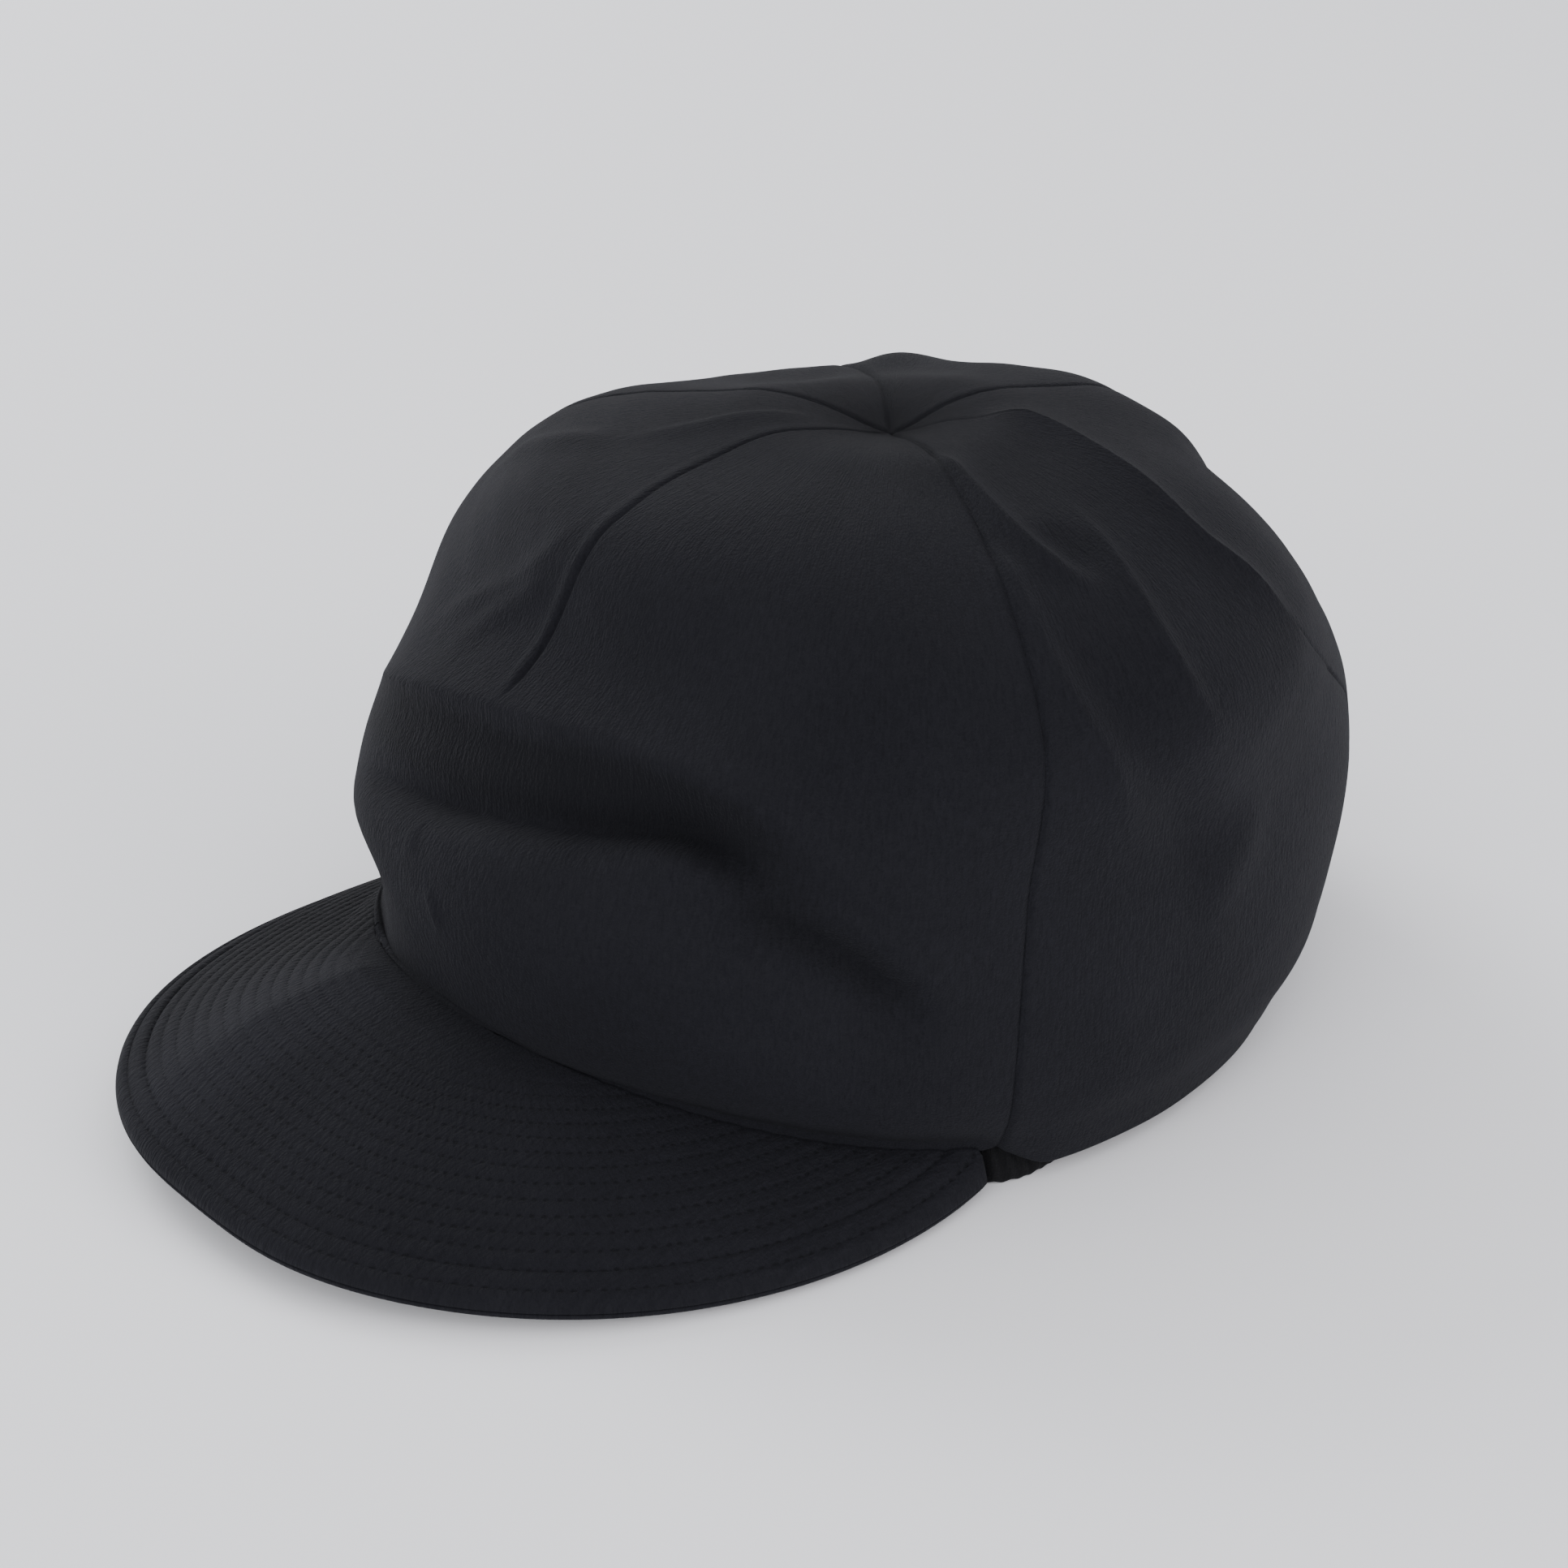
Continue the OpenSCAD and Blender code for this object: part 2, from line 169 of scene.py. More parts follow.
def crownNormal(angle, v):
    across = crownSkin(angle + 0.5, v) - crownSkin(angle - 0.5, v)
    up = crownSkin(angle, np.minimum(v + 0.005, 0.99)) - crownSkin(angle, np.maximum(v - 0.005, 0))
    n = np.cross(across, up)
    n = n / np.maximum(np.linalg.norm(n, axis=-1, keepdims=True), 1e-9)
    top = np.clip((np.broadcast_to(v, n.shape[:-1]) - 0.94) / 0.05, 0, 1)[..., None]
    n = n * (1 - top) + np.array([0, 0, 1.0]) * top
    return n / np.linalg.norm(n, axis=-1, keepdims=True)


# Each fold runs through (angle, v) points. Height is out from the cloth in millimetres. Spread is how far it
# reaches on either side: below and above its line, or left and right of it where the fold runs downwards.
# A low power gives a sharp crest. Ends is the share of its length over which each end fades, 0.4 if not given.
# Shade is painted shade: how much darker the cloth's colour is painted along the fold, standing in for the
# shade in a crease.
folds = [
    dict(path=[(-44, 0.45), (-31, 0.485), (-14, 0.518), (-3, 0.534), (8, 0.544), (18, 0.549), (27, 0.545),
               (35, 0.535), (42, 0.519), (47, 0.5), (52, 0.475), (57, 0.44)],
         height=5.6, spread=(3.6, 13), power=1.3, ends=(0.3, 0.25)),
    dict(path=[(-36, 0.375), (-28, 0.4), (-20, 0.42), (-11, 0.44), (-5, 0.452), (5, 0.468), (14, 0.478),
               (20, 0.484), (29, 0.496), (34, 0.495), (38, 0.482), (43, 0.458), (48, 0.43), (53, 0.4)],
         height=-7.6, spread=(4, 5.5), power=1.5, ends=(0.4, 0.3)),
    # painted shade only, with no height: a dark band painted under the main fold, and a fainter one beside it
    dict(path=[(-56, 0.4), (-42, 0.44), (-28, 0.468), (-11, 0.492), (2, 0.503), (16, 0.515), (28, 0.518),
               (36, 0.507), (41, 0.49), (46, 0.465), (52, 0.43)],
         height=0, shade=0.55, spread=(6.5, 5), power=2.4, ends=(0.1, 0.22)),
    dict(path=[(34, 0.45), (39, 0.44), (44, 0.42), (51, 0.385), (57, 0.345), (62, 0.305)],
         height=0, shade=0.22, spread=(5, 4), ends=(0.35, 0.3)),
    dict(path=[(20, 0.46), (28, 0.47), (33, 0.468), (37, 0.452), (41, 0.43), (46, 0.405), (51, 0.375)],
         height=2.2, spread=(4, 3), power=1.5, ends=(0.4, 0.3)),
    dict(path=[(31, 0.455), (36, 0.445), (41, 0.43), (46, 0.41), (52, 0.38), (57, 0.345), (61, 0.31),
               (64, 0.265)], height=-4.2, spread=(6, 3.2), power=1.6, ends=(0.35, 0.3)),
    dict(path=[(44, 0.445), (52, 0.415), (58, 0.38), (63, 0.34), (66, 0.29)],
         height=1.4, spread=(4.5, 8), power=1.6, ends=(0.3, 0.4)),
    dict(path=[(-72, 0.27), (-48, 0.28), (-28, 0.285), (-16, 0.28), (-4, 0.25)],
         height=-5, spread=(17, 9), power=3, ends=(0.3, 0.35)),
    dict(path=[(-5, 0.43), (-4, 0.4), (-3.5, 0.375)], height=0.6, spread=(1.2, 1.4)),
    dict(path=[(0, 0.37), (2.5, 0.34), (3, 0.31)], height=0.75, spread=(1.2, 1.5)),
    dict(path=[(-1, 0.8), (-6, 0.715), (-13, 0.66), (-23, 0.605), (-32, 0.54)],
         height=1.5, spread=(3.5, 5), power=1.5, ends=(0.3, 0.4)),
    dict(path=[(-1, 0.72), (-8, 0.655), (-14, 0.61), (-20, 0.55)],
         height=1.1, spread=(3.2, 3.2), ends=(0.3, 0.4)),
    dict(path=[(-28, 0.86), (-40, 0.8), (-52, 0.73), (-60, 0.66)], height=1.4, spread=(5, 5)),
    dict(path=[(-34, 0.97), (-31, 0.93), (-31, 0.88), (-33, 0.82)],
         height=1, spread=(2.5, 3.5), ends=(0.3, 0.5)),
    dict(path=[(74, 0.92), (75.5, 0.89), (77, 0.845), (79, 0.8), (82.5, 0.76), (87, 0.725), (92, 0.7)],
         height=2.7, spread=(2.8, 3.4), power=1.3, ends=(0.2, 0.35)),
    dict(path=[(74, 0.8), (75, 0.74), (75.5, 0.7), (76.5, 0.66), (78, 0.62), (80, 0.58), (83, 0.515),
               (87, 0.44)], height=2.2, spread=(3, 3), power=1.3, ends=(0.15, 0.4)),
    dict(path=[(98, 0.83), (96, 0.79), (94, 0.745), (93, 0.705), (92.5, 0.665), (93, 0.625), (95, 0.58),
               (100, 0.52)], height=2.4, spread=(3.6, 3.2), power=1.3, ends=(0.3, 0.4)),
    dict(path=[(78, 0.74), (81, 0.68), (83.5, 0.62), (87, 0.55), (93.5, 0.475), (99, 0.39), (101, 0.31)],
         height=-2.2, spread=(6, 8), ends=(0.25, 0.4)),
    dict(path=[(85, 0.81), (88, 0.76), (91, 0.73)], height=-1.2, spread=(5, 5)),
    dict(path=[(97, 0.33), (103, 0.36), (108, 0.4), (114, 0.42)], height=1.6, spread=(8, 8)),
    dict(path=[(135, 0.95), (129, 0.9), (119, 0.835), (116, 0.79), (113, 0.73), (116, 0.675), (119, 0.615),
               (124, 0.55)], height=3.6, spread=(4.2, 5), power=0.95, ends=(0.15, 0.3)),
    dict(path=[(-128, 0.93), (-135, 0.8), (-150, 0.66), (-165, 0.52)],
         height=2, spread=(7, 7), ends=(0.3, 0.4)),
    dict(path=[(150, 0.8), (160, 0.62), (172, 0.46)], height=-2.2, spread=(8, 8), ends=(0.3, 0.4)),
    dict(path=[(-100, 0.78), (-96, 0.62), (-90, 0.46), (-88, 0.34)], height=-2, spread=(7, 7), ends=(0.3, 0.4)),
    dict(path=[(-150, 0.3), (-170, 0.34), (170, 0.36), (150, 0.32)], height=-2.4, spread=(8, 8)),
]

# Broad rises and hollows: the place as (angle, v), how far out and how wide it is, in millimetres.
swells = [
    ((-48, 0.52), -1.8, 20), ((-33, 0.40), -1.2, 14), ((-75, 0.70), 2.2, 22), ((-106, 0.82), -3.4, 20),
    ((-138, 0.84), -2.8, 24), ((148, 0.76), -1.8, 16), ((172, 0.75), -1.4, 12), ((152, 0.58), 0.9, 14),
    ((20, 0.84), 0.8, 20), ((-10, 0.30), -0.8, 18), ((-38, 0.25), -1.4, 13),
]


def foldLine(path):
    # a smooth line of base points through the fold's (angle, v) points, and how far along it each one is
    angles = np.degrees(np.unwrap(np.radians([p[0] for p in path])))
    vs = np.array([p[1] for p in path])
    at = np.arange(len(path))
    fine = np.linspace(0, len(path) - 1, 10 * len(path))
    angle, v = (np.convolve(np.pad(np.interp(fine, at, values), 4, mode="edge"), np.ones(9) / 9, "valid")
                for values in (angles, vs))
    points = crownSkin(angle, v)
    along = np.concatenate([[0], np.cumsum(np.linalg.norm(np.diff(points, axis=0), axis=1))])
    return points, along / along[-1]


for fold in folds:
    fold["line"], fold["along"] = foldLine(fold["path"])


def fade(t, ends):
    return ease(np.clip(t / ends[0], 0, 1)) * ease(np.clip((1 - t) / ends[1], 0, 1))


# painted shade given to every deep valley fold that names none of its own
valleyShade = 0.03


def foldHeights(points, normals):
    # how far out the folds take each point, and the painted shade put into the creases' colour
    total = np.zeros(len(points))
    shade = np.zeros(len(points))
    for (angle, v), height, reach in swells:
        total += height * hump(np.linalg.norm(points - crownSkin(angle, v), axis=1), 0, reach)
    for fold in folds:
        line, along = fold["line"], fold["along"]
        reach = 3.2 * max(fold["spread"])
        near = np.flatnonzero(((points > line.min(0) - reach) & (points < line.max(0) + reach)).all(1))
        if not len(near):
            continue
        p = points[near][:, None]
        a, b = line[:-1][None], line[1:][None]
        run = b - a
        t = np.clip(((p - a) * run).sum(-1) / np.maximum((run ** 2).sum(-1), 1e-9), 0, 1)
        away = p - (a + t[..., None] * run)
        distance = np.linalg.norm(away, axis=-1)
        best = distance.argmin(1)
        row = np.arange(len(near))
        d = distance[row, best]
        where = along[best] + t[row, best] * (along[best + 1] - along[best])
        side = (np.cross(normals[near], run[0, best]) * away[row, best]).sum(-1)
        spread = np.where(side < 0, *fold["spread"])
        share = np.exp(-(d / spread) ** fold.get("power", 2)) * fade(where, fold.get("ends", (0.4, 0.4)))
        total[near] += fold["height"] * share
        shade[near] += fold.get("shade", valleyShade if fold["height"] < -1.5 else 0) * share
    return total, shade


def softWaves(points):
    # slow uneven swell of slack cloth; the divisors are wave lengths in millimetres over two pi
    x, y, z = points.T
    swell = np.sin(x / 9.0 + 1.3 * np.sin(z / 17.0)) * np.sin(z / 11.0 + y / 23.0)
    swell = swell + 0.7 * np.sin(y / 8.0 + z / 14.0 + 1.1 * np.sin(x / 15.0))
    return 0.22 * swell + 0.10 * np.sin((x + y) / 3.7 + 2 * np.sin(z / 9.0)) * np.sin(z / 4.3 + x / 11.0)


def newGrid(name, columns, rows):
    # a flat grid primitive with the wanted number of points, ready to be laid on a surface
    bpy.ops.mesh.primitive_grid_add(x_subdivisions=columns - 1, y_subdivisions=rows - 1, size=1)
    piece = bpy.context.object
    piece.name = name
    piece.data.name = name
    flat = np.empty(len(piece.data.vertices) * 3)
    piece.data.vertices.foreach_get("co", flat)
    flat = flat.reshape(-1, 3)
    column = np.rint((flat[:, 0] + 0.5) * (columns - 1)).astype(int)
    row = np.rint((flat[:, 1] + 0.5) * (rows - 1)).astype(int)
    return piece, column, row


def setMap(piece, layer, uv):
    corners = np.empty(len(piece.data.loops), int)
    piece.data.loops.foreach_get("vertex_index", corners)
    layer.data.foreach_set("uv", uv[corners].ravel())


def layOn(piece, points, uv):
    piece.data.vertices.foreach_set("co", (points * mm).ravel())
    setMap(piece, piece.data.uv_layers.active or piece.data.uv_layers.new(name="UVMap"), uv * mm)
    piece.data.update()


def selectOnly(piece):
    bpy.ops.object.select_all(action="DESELECT")
    bpy.context.view_layer.objects.active = piece
    piece.select_set(True)


def addModifier(piece, kind, **settings):
    selectOnly(piece)
    bpy.ops.object.modifier_add(type=kind)
    modifier = piece.modifiers[-1]
    for key, value in settings.items():
        setattr(modifier, key, value)
    bpy.ops.object.modifier_apply(modifier=modifier.name)


def finishPiece(piece, body, material, nodes):
    # a piece with no body is left without a parent
    selectOnly(piece)
    bpy.ops.object.shade_smooth()
    piece.data.materials.clear()
    piece.data.materials.append(material)
    if body:
        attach(piece, body)
    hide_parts(*nodes)
    piece.select_set(False)


# stores painted shade, and on the visor painted highlight, as a point attribute that the material reads
def setPaintedLight(piece, values):
    paintedLight = piece.data.attributes.new("paintedLight", "FLOAT", "POINT")
    paintedLight.data.foreach_set("value", values)


def editAll(piece, operation, **settings):
    selectOnly(piece)
    bpy.ops.object.mode_set(mode="EDIT")
    bpy.ops.mesh.select_all(action="SELECT")
    operation(**settings)
    bpy.ops.object.mode_set(mode="OBJECT")


def newMaterial(name, color, roughness, **sockets):
    material = bpy.data.materials.new(name)
    material.use_nodes = True
    shader = material.node_tree.nodes["Principled BSDF"]
    shader.inputs["Base Color"].default_value = (*color, 1)
    shader.inputs["Roughness"].default_value = roughness
    for key, value in sockets.items():
        shader.inputs[key.replace("_", " ")].default_value = value
    return material, material.node_tree, shader


def addNode(tree, kind, inputs=(), **settings):
    # a node, its settings, and each input as a value or as the output that feeds it
    made = tree.nodes.new("ShaderNode" + kind)
    for key, value in settings.items():
        setattr(made, key, value)
    for key, value in dict(inputs).items():
        if isinstance(value, bpy.types.NodeSocket):
            tree.links.new(value, made.inputs[key])
        else:
            made.inputs[key].default_value = value
    return made.outputs


def mathNode(tree, operation, *values):
    return addNode(tree, "Math", enumerate(values), operation=operation)[0]


def mapRange(tree, value, *limits):
    keys = ("Value", "From Min", "From Max", "To Min", "To Max")
    return addNode(tree, "MapRange", zip(keys, (value, *limits)))["Result"]


def noiseNode(tree, vector, scale, detail=2.0, roughness=0.5, distortion=0.0):
    return addNode(tree, "TexNoise", {"Vector": vector, "Scale": scale, "Detail": detail,
                                      "Roughness": roughness, "Distortion": distortion})["Fac"]


def bumpNode(tree, height, strength, distance, **more):
    return addNode(tree, "Bump", dict(Height=height, Strength=strength, Distance=distance, **more))["Normal"]


def blendColors(tree, factor, dark, light):
    ramp = tree.nodes.new("ShaderNodeValToRGB")
    for stop, place, color in zip(ramp.color_ramp.elements, (0.25, 0.8), (dark, light)):
        stop.position = place
        stop.color = (*color, 1)
    tree.links.new(factor, ramp.inputs["Fac"])
    return ramp.outputs["Color"]


weave = {                                  # scales are in cycles for each metre
    "lines": 1300, "lineStretch": 0.22, "grain": 1700, "grainShare": 0.6, "slub": 600, "slubShare": 0.35,
    "cloud": 28, "cloudShare": 0.3, "heightShare": 0.5,
}


def crepeGroup():
    # fine plain weave with short crinkled lines along the cloth, laid out on the piece's UV map in metres
    group = bpy.data.node_groups.new("crepeCloth", "ShaderNodeTree")
    for name, way, kind in (("Vector", "INPUT", "Vector"), ("Crinkle", "INPUT", "Float"),
                            ("Height", "OUTPUT", "Float"), ("Shade", "OUTPUT", "Float")):
        group.interface.new_socket(name, in_out=way, socket_type="NodeSocket" + kind)
    enter = group.nodes.new("NodeGroupInput").outputs
    leave = group.nodes.new("NodeGroupOutput")
    stretched = addNode(group, "Mapping", {"Vector": enter["Vector"], "Scale": (1, weave["lineStretch"], 1)})
    lines = noiseNode(group, stretched["Vector"], weave["lines"], 1.5, 0.5, 0.4)
    grain = noiseNode(group, enter["Vector"], weave["grain"], 2.0, 0.6)
    slub = noiseNode(group, enter["Vector"], weave["slub"], 2.0, 0.5, 0.5)
    grain = mathNode(group, "MULTIPLY", grain, weave["grainShare"])
    height = mathNode(group, "MULTIPLY_ADD", lines, enter["Crinkle"], grain)
    height = mathNode(group, "MULTIPLY_ADD", slub, weave["slubShare"], height)
    group.links.new(height, leave.inputs["Height"])
    cloud = noiseNode(group, enter["Vector"], weave["cloud"], 3.0)
    base = mathNode(group, "MULTIPLY", height, weave["heightShare"])
    shade = mathNode(group, "MULTIPLY_ADD", cloud, weave["cloudShare"], base)
    group.links.new(shade, leave.inputs["Shade"])
    return group


crepe = crepeGroup()

clothLook = {
    "dark": (0.0027, 0.0028, 0.0042),
    "light": (0.0084, 0.0085, 0.0117),
    "roughness": 0.85,
    "specular": 0.12,
    "sheen": 0.017,
    "sheenRoughness": 0.5,
    "sheenTint": (0.86, 0.88, 1.0, 1),
    "crinkle": 0.6,
    "roughnessSwing": 0.08,
    "bump": 0.8,
    "bumpDepth": 0.0009,
}
stitchLook = {
    "drift": 0.8, "holeLong": 3.4, "holeWide": 6.0, "holeShade": -0.35,    # larger is a smaller hole
    "startRow": 1.4, "lastRows": (12.5, 14.5),        # the stitches fade in and out over these rows
    "slant": 3.6, "pucker": 0.45, "bump": 0.7, "bumpDepth": 0.00022,
}


def clothMaterial(name, look, stitched=False, withPaintedLight=False):
    material, tree, shader = newMaterial(
        name, look["dark"], look["roughness"], Specular_IOR_Level=look["specular"],
        Sheen_Weight=look["sheen"], Sheen_Roughness=look["sheenRoughness"], Sheen_Tint=look["sheenTint"])
    uv = addNode(tree, "UVMap", uv_map="UVMap")["UV"]
    cloth = tree.nodes.new("ShaderNodeGroup")
    cloth.node_tree = crepe
    cloth.inputs["Crinkle"].default_value = look["crinkle"]
    tree.links.new(uv, cloth.inputs["Vector"])
    shade = cloth.outputs["Shade"]
    # painted shade and painted highlight from the piece's attribute darken or lighten its colour
    if withPaintedLight:
        shade = mathNode(tree, "SUBTRACT", shade, addNode(tree, "Attribute", attribute_name="paintedLight")["Fac"])
    if stitched:
        hole, relief = needleHoles(tree)
        # the needle holes are painted darker: painted shade in the dimples
        shade = mathNode(tree, "MULTIPLY_ADD", hole, stitchLook["holeShade"], shade)
    tree.links.new(blendColors(tree, shade, look["dark"], look["light"]), shader.inputs["Base Color"])
    dull, smooth = look["roughness"] + look["roughnessSwing"], look["roughness"] - look["roughnessSwing"]
    tree.links.new(mapRange(tree, cloth.outputs["Shade"], 0.2, 0.9, dull, smooth), shader.inputs["Roughness"])
    normal = bumpNode(tree, cloth.outputs["Height"], look["bump"], look["bumpDepth"])
    if stitched:
        normal = bumpNode(tree, relief, stitchLook["bump"], stitchLook["bumpDepth"], Normal=normal)
    tree.links.new(normal, shader.inputs["Normal"])
    return material


def needleHoles(tree):
    # dimples where the needle went through, counted along and across the rows by stitchMap, and the height of
    # the cloth with slanted puckers between the rows
    place = addNode(tree, "UVMap", uv_map="stitchMap")["UV"]
    column, row, _ = addNode(tree, "SeparateXYZ", {"Vector": place})
    calc = lambda operation, *values: mathNode(tree, operation, *values)
    drift = noiseNode(tree, place, 0.7, 1.0)
    step = calc("MULTIPLY_ADD", drift, stitchLook["drift"], column)
    along = calc("ABSOLUTE", calc("SUBTRACT", calc("FRACT", step), 0.5))
    across = calc("ABSOLUTE", calc("SUBTRACT", calc("FRACT", calc("ADD", row, 0.5)), 0.5))
    reach = calc("ADD", calc("POWER", calc("MULTIPLY", along, stitchLook["holeLong"]), 2.0),
                 calc("POWER", calc("MULTIPLY", across, stitchLook["holeWide"]), 2.0))
    hole = calc("SUBTRACT", 1.0, calc("MINIMUM", reach, 1.0))
    inside = calc("MINIMUM", calc("MULTIPLY", row, stitchLook["startRow"]), 1.0)
    inside = calc("MULTIPLY", inside, mapRange(tree, row, *stitchLook["lastRows"], 1, 0))
    hole = calc("MULTIPLY", hole, inside)
    slant = calc("MULTIPLY_ADD", row, stitchLook["slant"], calc("MULTIPLY", step, 2 * math.pi))
    pucker = calc("MULTIPLY", calc("SINE", slant), calc("MULTIPLY", drift, stitchLook["pucker"]))
    return hole, calc("MULTIPLY_ADD", hole, -1.0, calc("MULTIPLY", pucker, inside))


crownCloth = clothMaterial("crownCloth", clothLook, withPaintedLight=True)
visorCloth = clothMaterial("visorCloth", clothLook, stitched=True, withPaintedLight=True)
tapeCloth = clothMaterial("tapeCloth", dict(
    clothLook, dark=(0.004, 0.004, 0.005), light=(0.007, 0.007, 0.008), crinkle=0.2))
bandCloth = clothMaterial("bandCloth", dict(
    clothLook, dark=(0.009, 0.009, 0.011), light=(0.016, 0.016, 0.019), crinkle=0.25, bump=0.6))
casingCloth = clothMaterial("casingCloth", dict(
    clothLook, dark=(0.003, 0.003, 0.0035), light=(0.007, 0.007, 0.008), crinkle=0.5, bump=0.6))


def moldedMaterial(name, color, roughness, grainScale, bump, fleck=0.25):
    # foam, plastic and rubber: fine grain and a little uneven colour
    material, tree, shader = newMaterial(name, color, roughness)
    place = addNode(tree, "TexCoord")["Object"]
    grain = noiseNode(tree, place, grainScale, 3.0, 0.6)
    cloud = noiseNode(tree, place, 35, 2.0)
    mixed = mathNode(tree, "MULTIPLY_ADD", grain, 0.5, mathNode(tree, "MULTIPLY", cloud, 0.5))
    dark = [c * (1 - fleck) for c in color]
    light = [c * (1 + fleck) for c in color]
    tree.links.new(blendColors(tree, mixed, dark, light), shader.inputs["Base Color"])
    dull, smooth = min(1, roughness + 0.08), roughness - 0.08
    tree.links.new(mapRange(tree, mixed, 0.2, 0.8, dull, smooth), shader.inputs["Roughness"])
    tree.links.new(bumpNode(tree, grain, bump, 0.0002), shader.inputs["Normal"])
    return material


boardPlastic = moldedMaterial("boardPlastic", (0.02, 0.02, 0.022), 0.5, 900, 0.3)
shellPlastic = moldedMaterial("shellPlastic", (0.035, 0.037, 0.042), 0.42, 1400, 0.25)
padFoam = moldedMaterial("padFoam", (0.045, 0.046, 0.05), 0.92, 2400, 0.9, 0.35)
trimRubber = moldedMaterial("trimRubber", (0.012, 0.012, 0.013), 0.6, 1800, 0.3)
hookPlastic = moldedMaterial("hookPlastic", (0.012, 0.012, 0.014), 0.7, 3200, 1.0, 0.4)
loopPile = moldedMaterial("loopPile", (0.02, 0.02, 0.023), 0.95, 2600, 1.0, 0.4)
webbing = moldedMaterial("webbing", (0.014, 0.014, 0.016), 0.85, 1900, 0.8)
elasticRubber = moldedMaterial("elasticRubber", (0.02, 0.02, 0.022), 0.8, 2000, 0.7)
print("materials made")


visorEnd = shape["visorEnd"]
crown = {
    "thickness": 0.9,
    "step": 1.7,            # distance between points in the middle of a panel
    "edgeSteps": [0, 0.25, 0.5, 0.8, 1.2, 1.7, 2.4, 3.4, 4.8],    # and in from its edges
    "dartSteps": [0, 0.35, 0.7, 1.1, 1.6, 2.3, 3.2, 4.4], "dartClear": 5.2,
    "seamDepth": 0.7, "seamReach": 0.75,      # how far a panel's edge tucks in
    "pullDepth": 0.3, "pullReach": 6.0,       # how far the cloth is drawn in beside a seam
    "ridgeSeam": 0.35,                        # share of both on the rear seam's ridge
    "dimple": 3.6, "dimpleReach": 10.0,       # the top is drawn in where the seams meet
    "rim": 1.3, "rimRadius": 27.0, "rimReach": 11.0,
    "apexRadius": 0.25,
    # slack over the casing at the sides and back, and its run up from the hem
    "blouseOut": 3.2, "outRun": ([0, 0.02, 0.04, 0.07, 0.12, 0.2], [0, 0.75, 1, 0.9, 0.45, 0]),
    "blouseDrop": 5.6,
    "dropRun": ([0, 0.012, 0.024, 0.036, 0.06, 0.10, 0.2], [0, 0.62, 0.93, 1, 0.72, 0.33, 0]),
    "blouseStart": 4.0, "blouseTurn": 11.0,   # it starts before the front seam and is full after this turn
    "hemLap": 0.9, "lapDrop": 1.1, "lapHeight": 0.03,    # the front hem laps over the visor's inner edge
    "dartLow": 0.545, "dartDepth": 0.85, "dartWidth": 0.5, "dartRun": ([0, 0.66, 0.78, 1], [1, 1, 0.6, 0.6]),
    "dartLip": 0.55, "lipAt": -1.7, "lipWidth": 1.3,
}
def seamLine(heights, angles):
    # the angle at any height; the mean of three places near each other rounds the line's corners
    near = 0.015
    return lambda v: sum(np.interp(v + step, heights, angles) for step in (-near, 0, near)) / 3


# each seam's heights v and the angle at each
rightFront = seamLine([0, 1], [visorEnd, visorEnd])
leftFront = seamLine([0, 1], [-visorEnd, -visorEnd])
rearSeam = seamLine([0, 0.14, 0.22, 0.41, 0.47, 0.545, 0.615, 0.675, 0.73, 0.79, 0.835, 0.90, 1.0],
                    [137, 141, 145, 146, 137, 126.5, 119.5, 116, 113.5, 116, 120, 129, 136])
leftSeam = seamLine([0, 0.5, 0.8, 1.0], [-120, -121, -126, -132])
backSeam = seamLine([0, 0.6, 0.8, 0.92, 1.0], [180, 179, 176, 174, 172])
dartAngle = seamLine([0.0, 0.545, 0.575, 0.61, 0.655, 0.70, 0.74, 0.81, 0.87, 0.92, 1.0],
                     [1.2, 1.2, 0.5, 0, 0.5, 2.0, 2.8, 2.5, -3, -9, -9])


def panelColumns(start, end, middle=None):
    # shares from 0 to 1 across a panel, close together at its edges and beside a dart
    length = np.radians(end - start) * shape["meanRadius"]
    edge = np.array(crown["edgeSteps"]) / length
    inner = np.linspace(edge[-1], 1 - edge[-1], int(length / crown["step"]))
    columns = np.concatenate([edge[:-1], inner, 1 - edge[:-1][::-1]])
    if middle is not None:
        steps = np.array(crown["dartSteps"])
        close = np.concatenate([-steps[:0:-1], steps]) / length + middle
        away = np.abs(columns - middle) > crown["dartClear"] / length
        columns = np.sort(np.concatenate([columns[away], close]))
    return columns


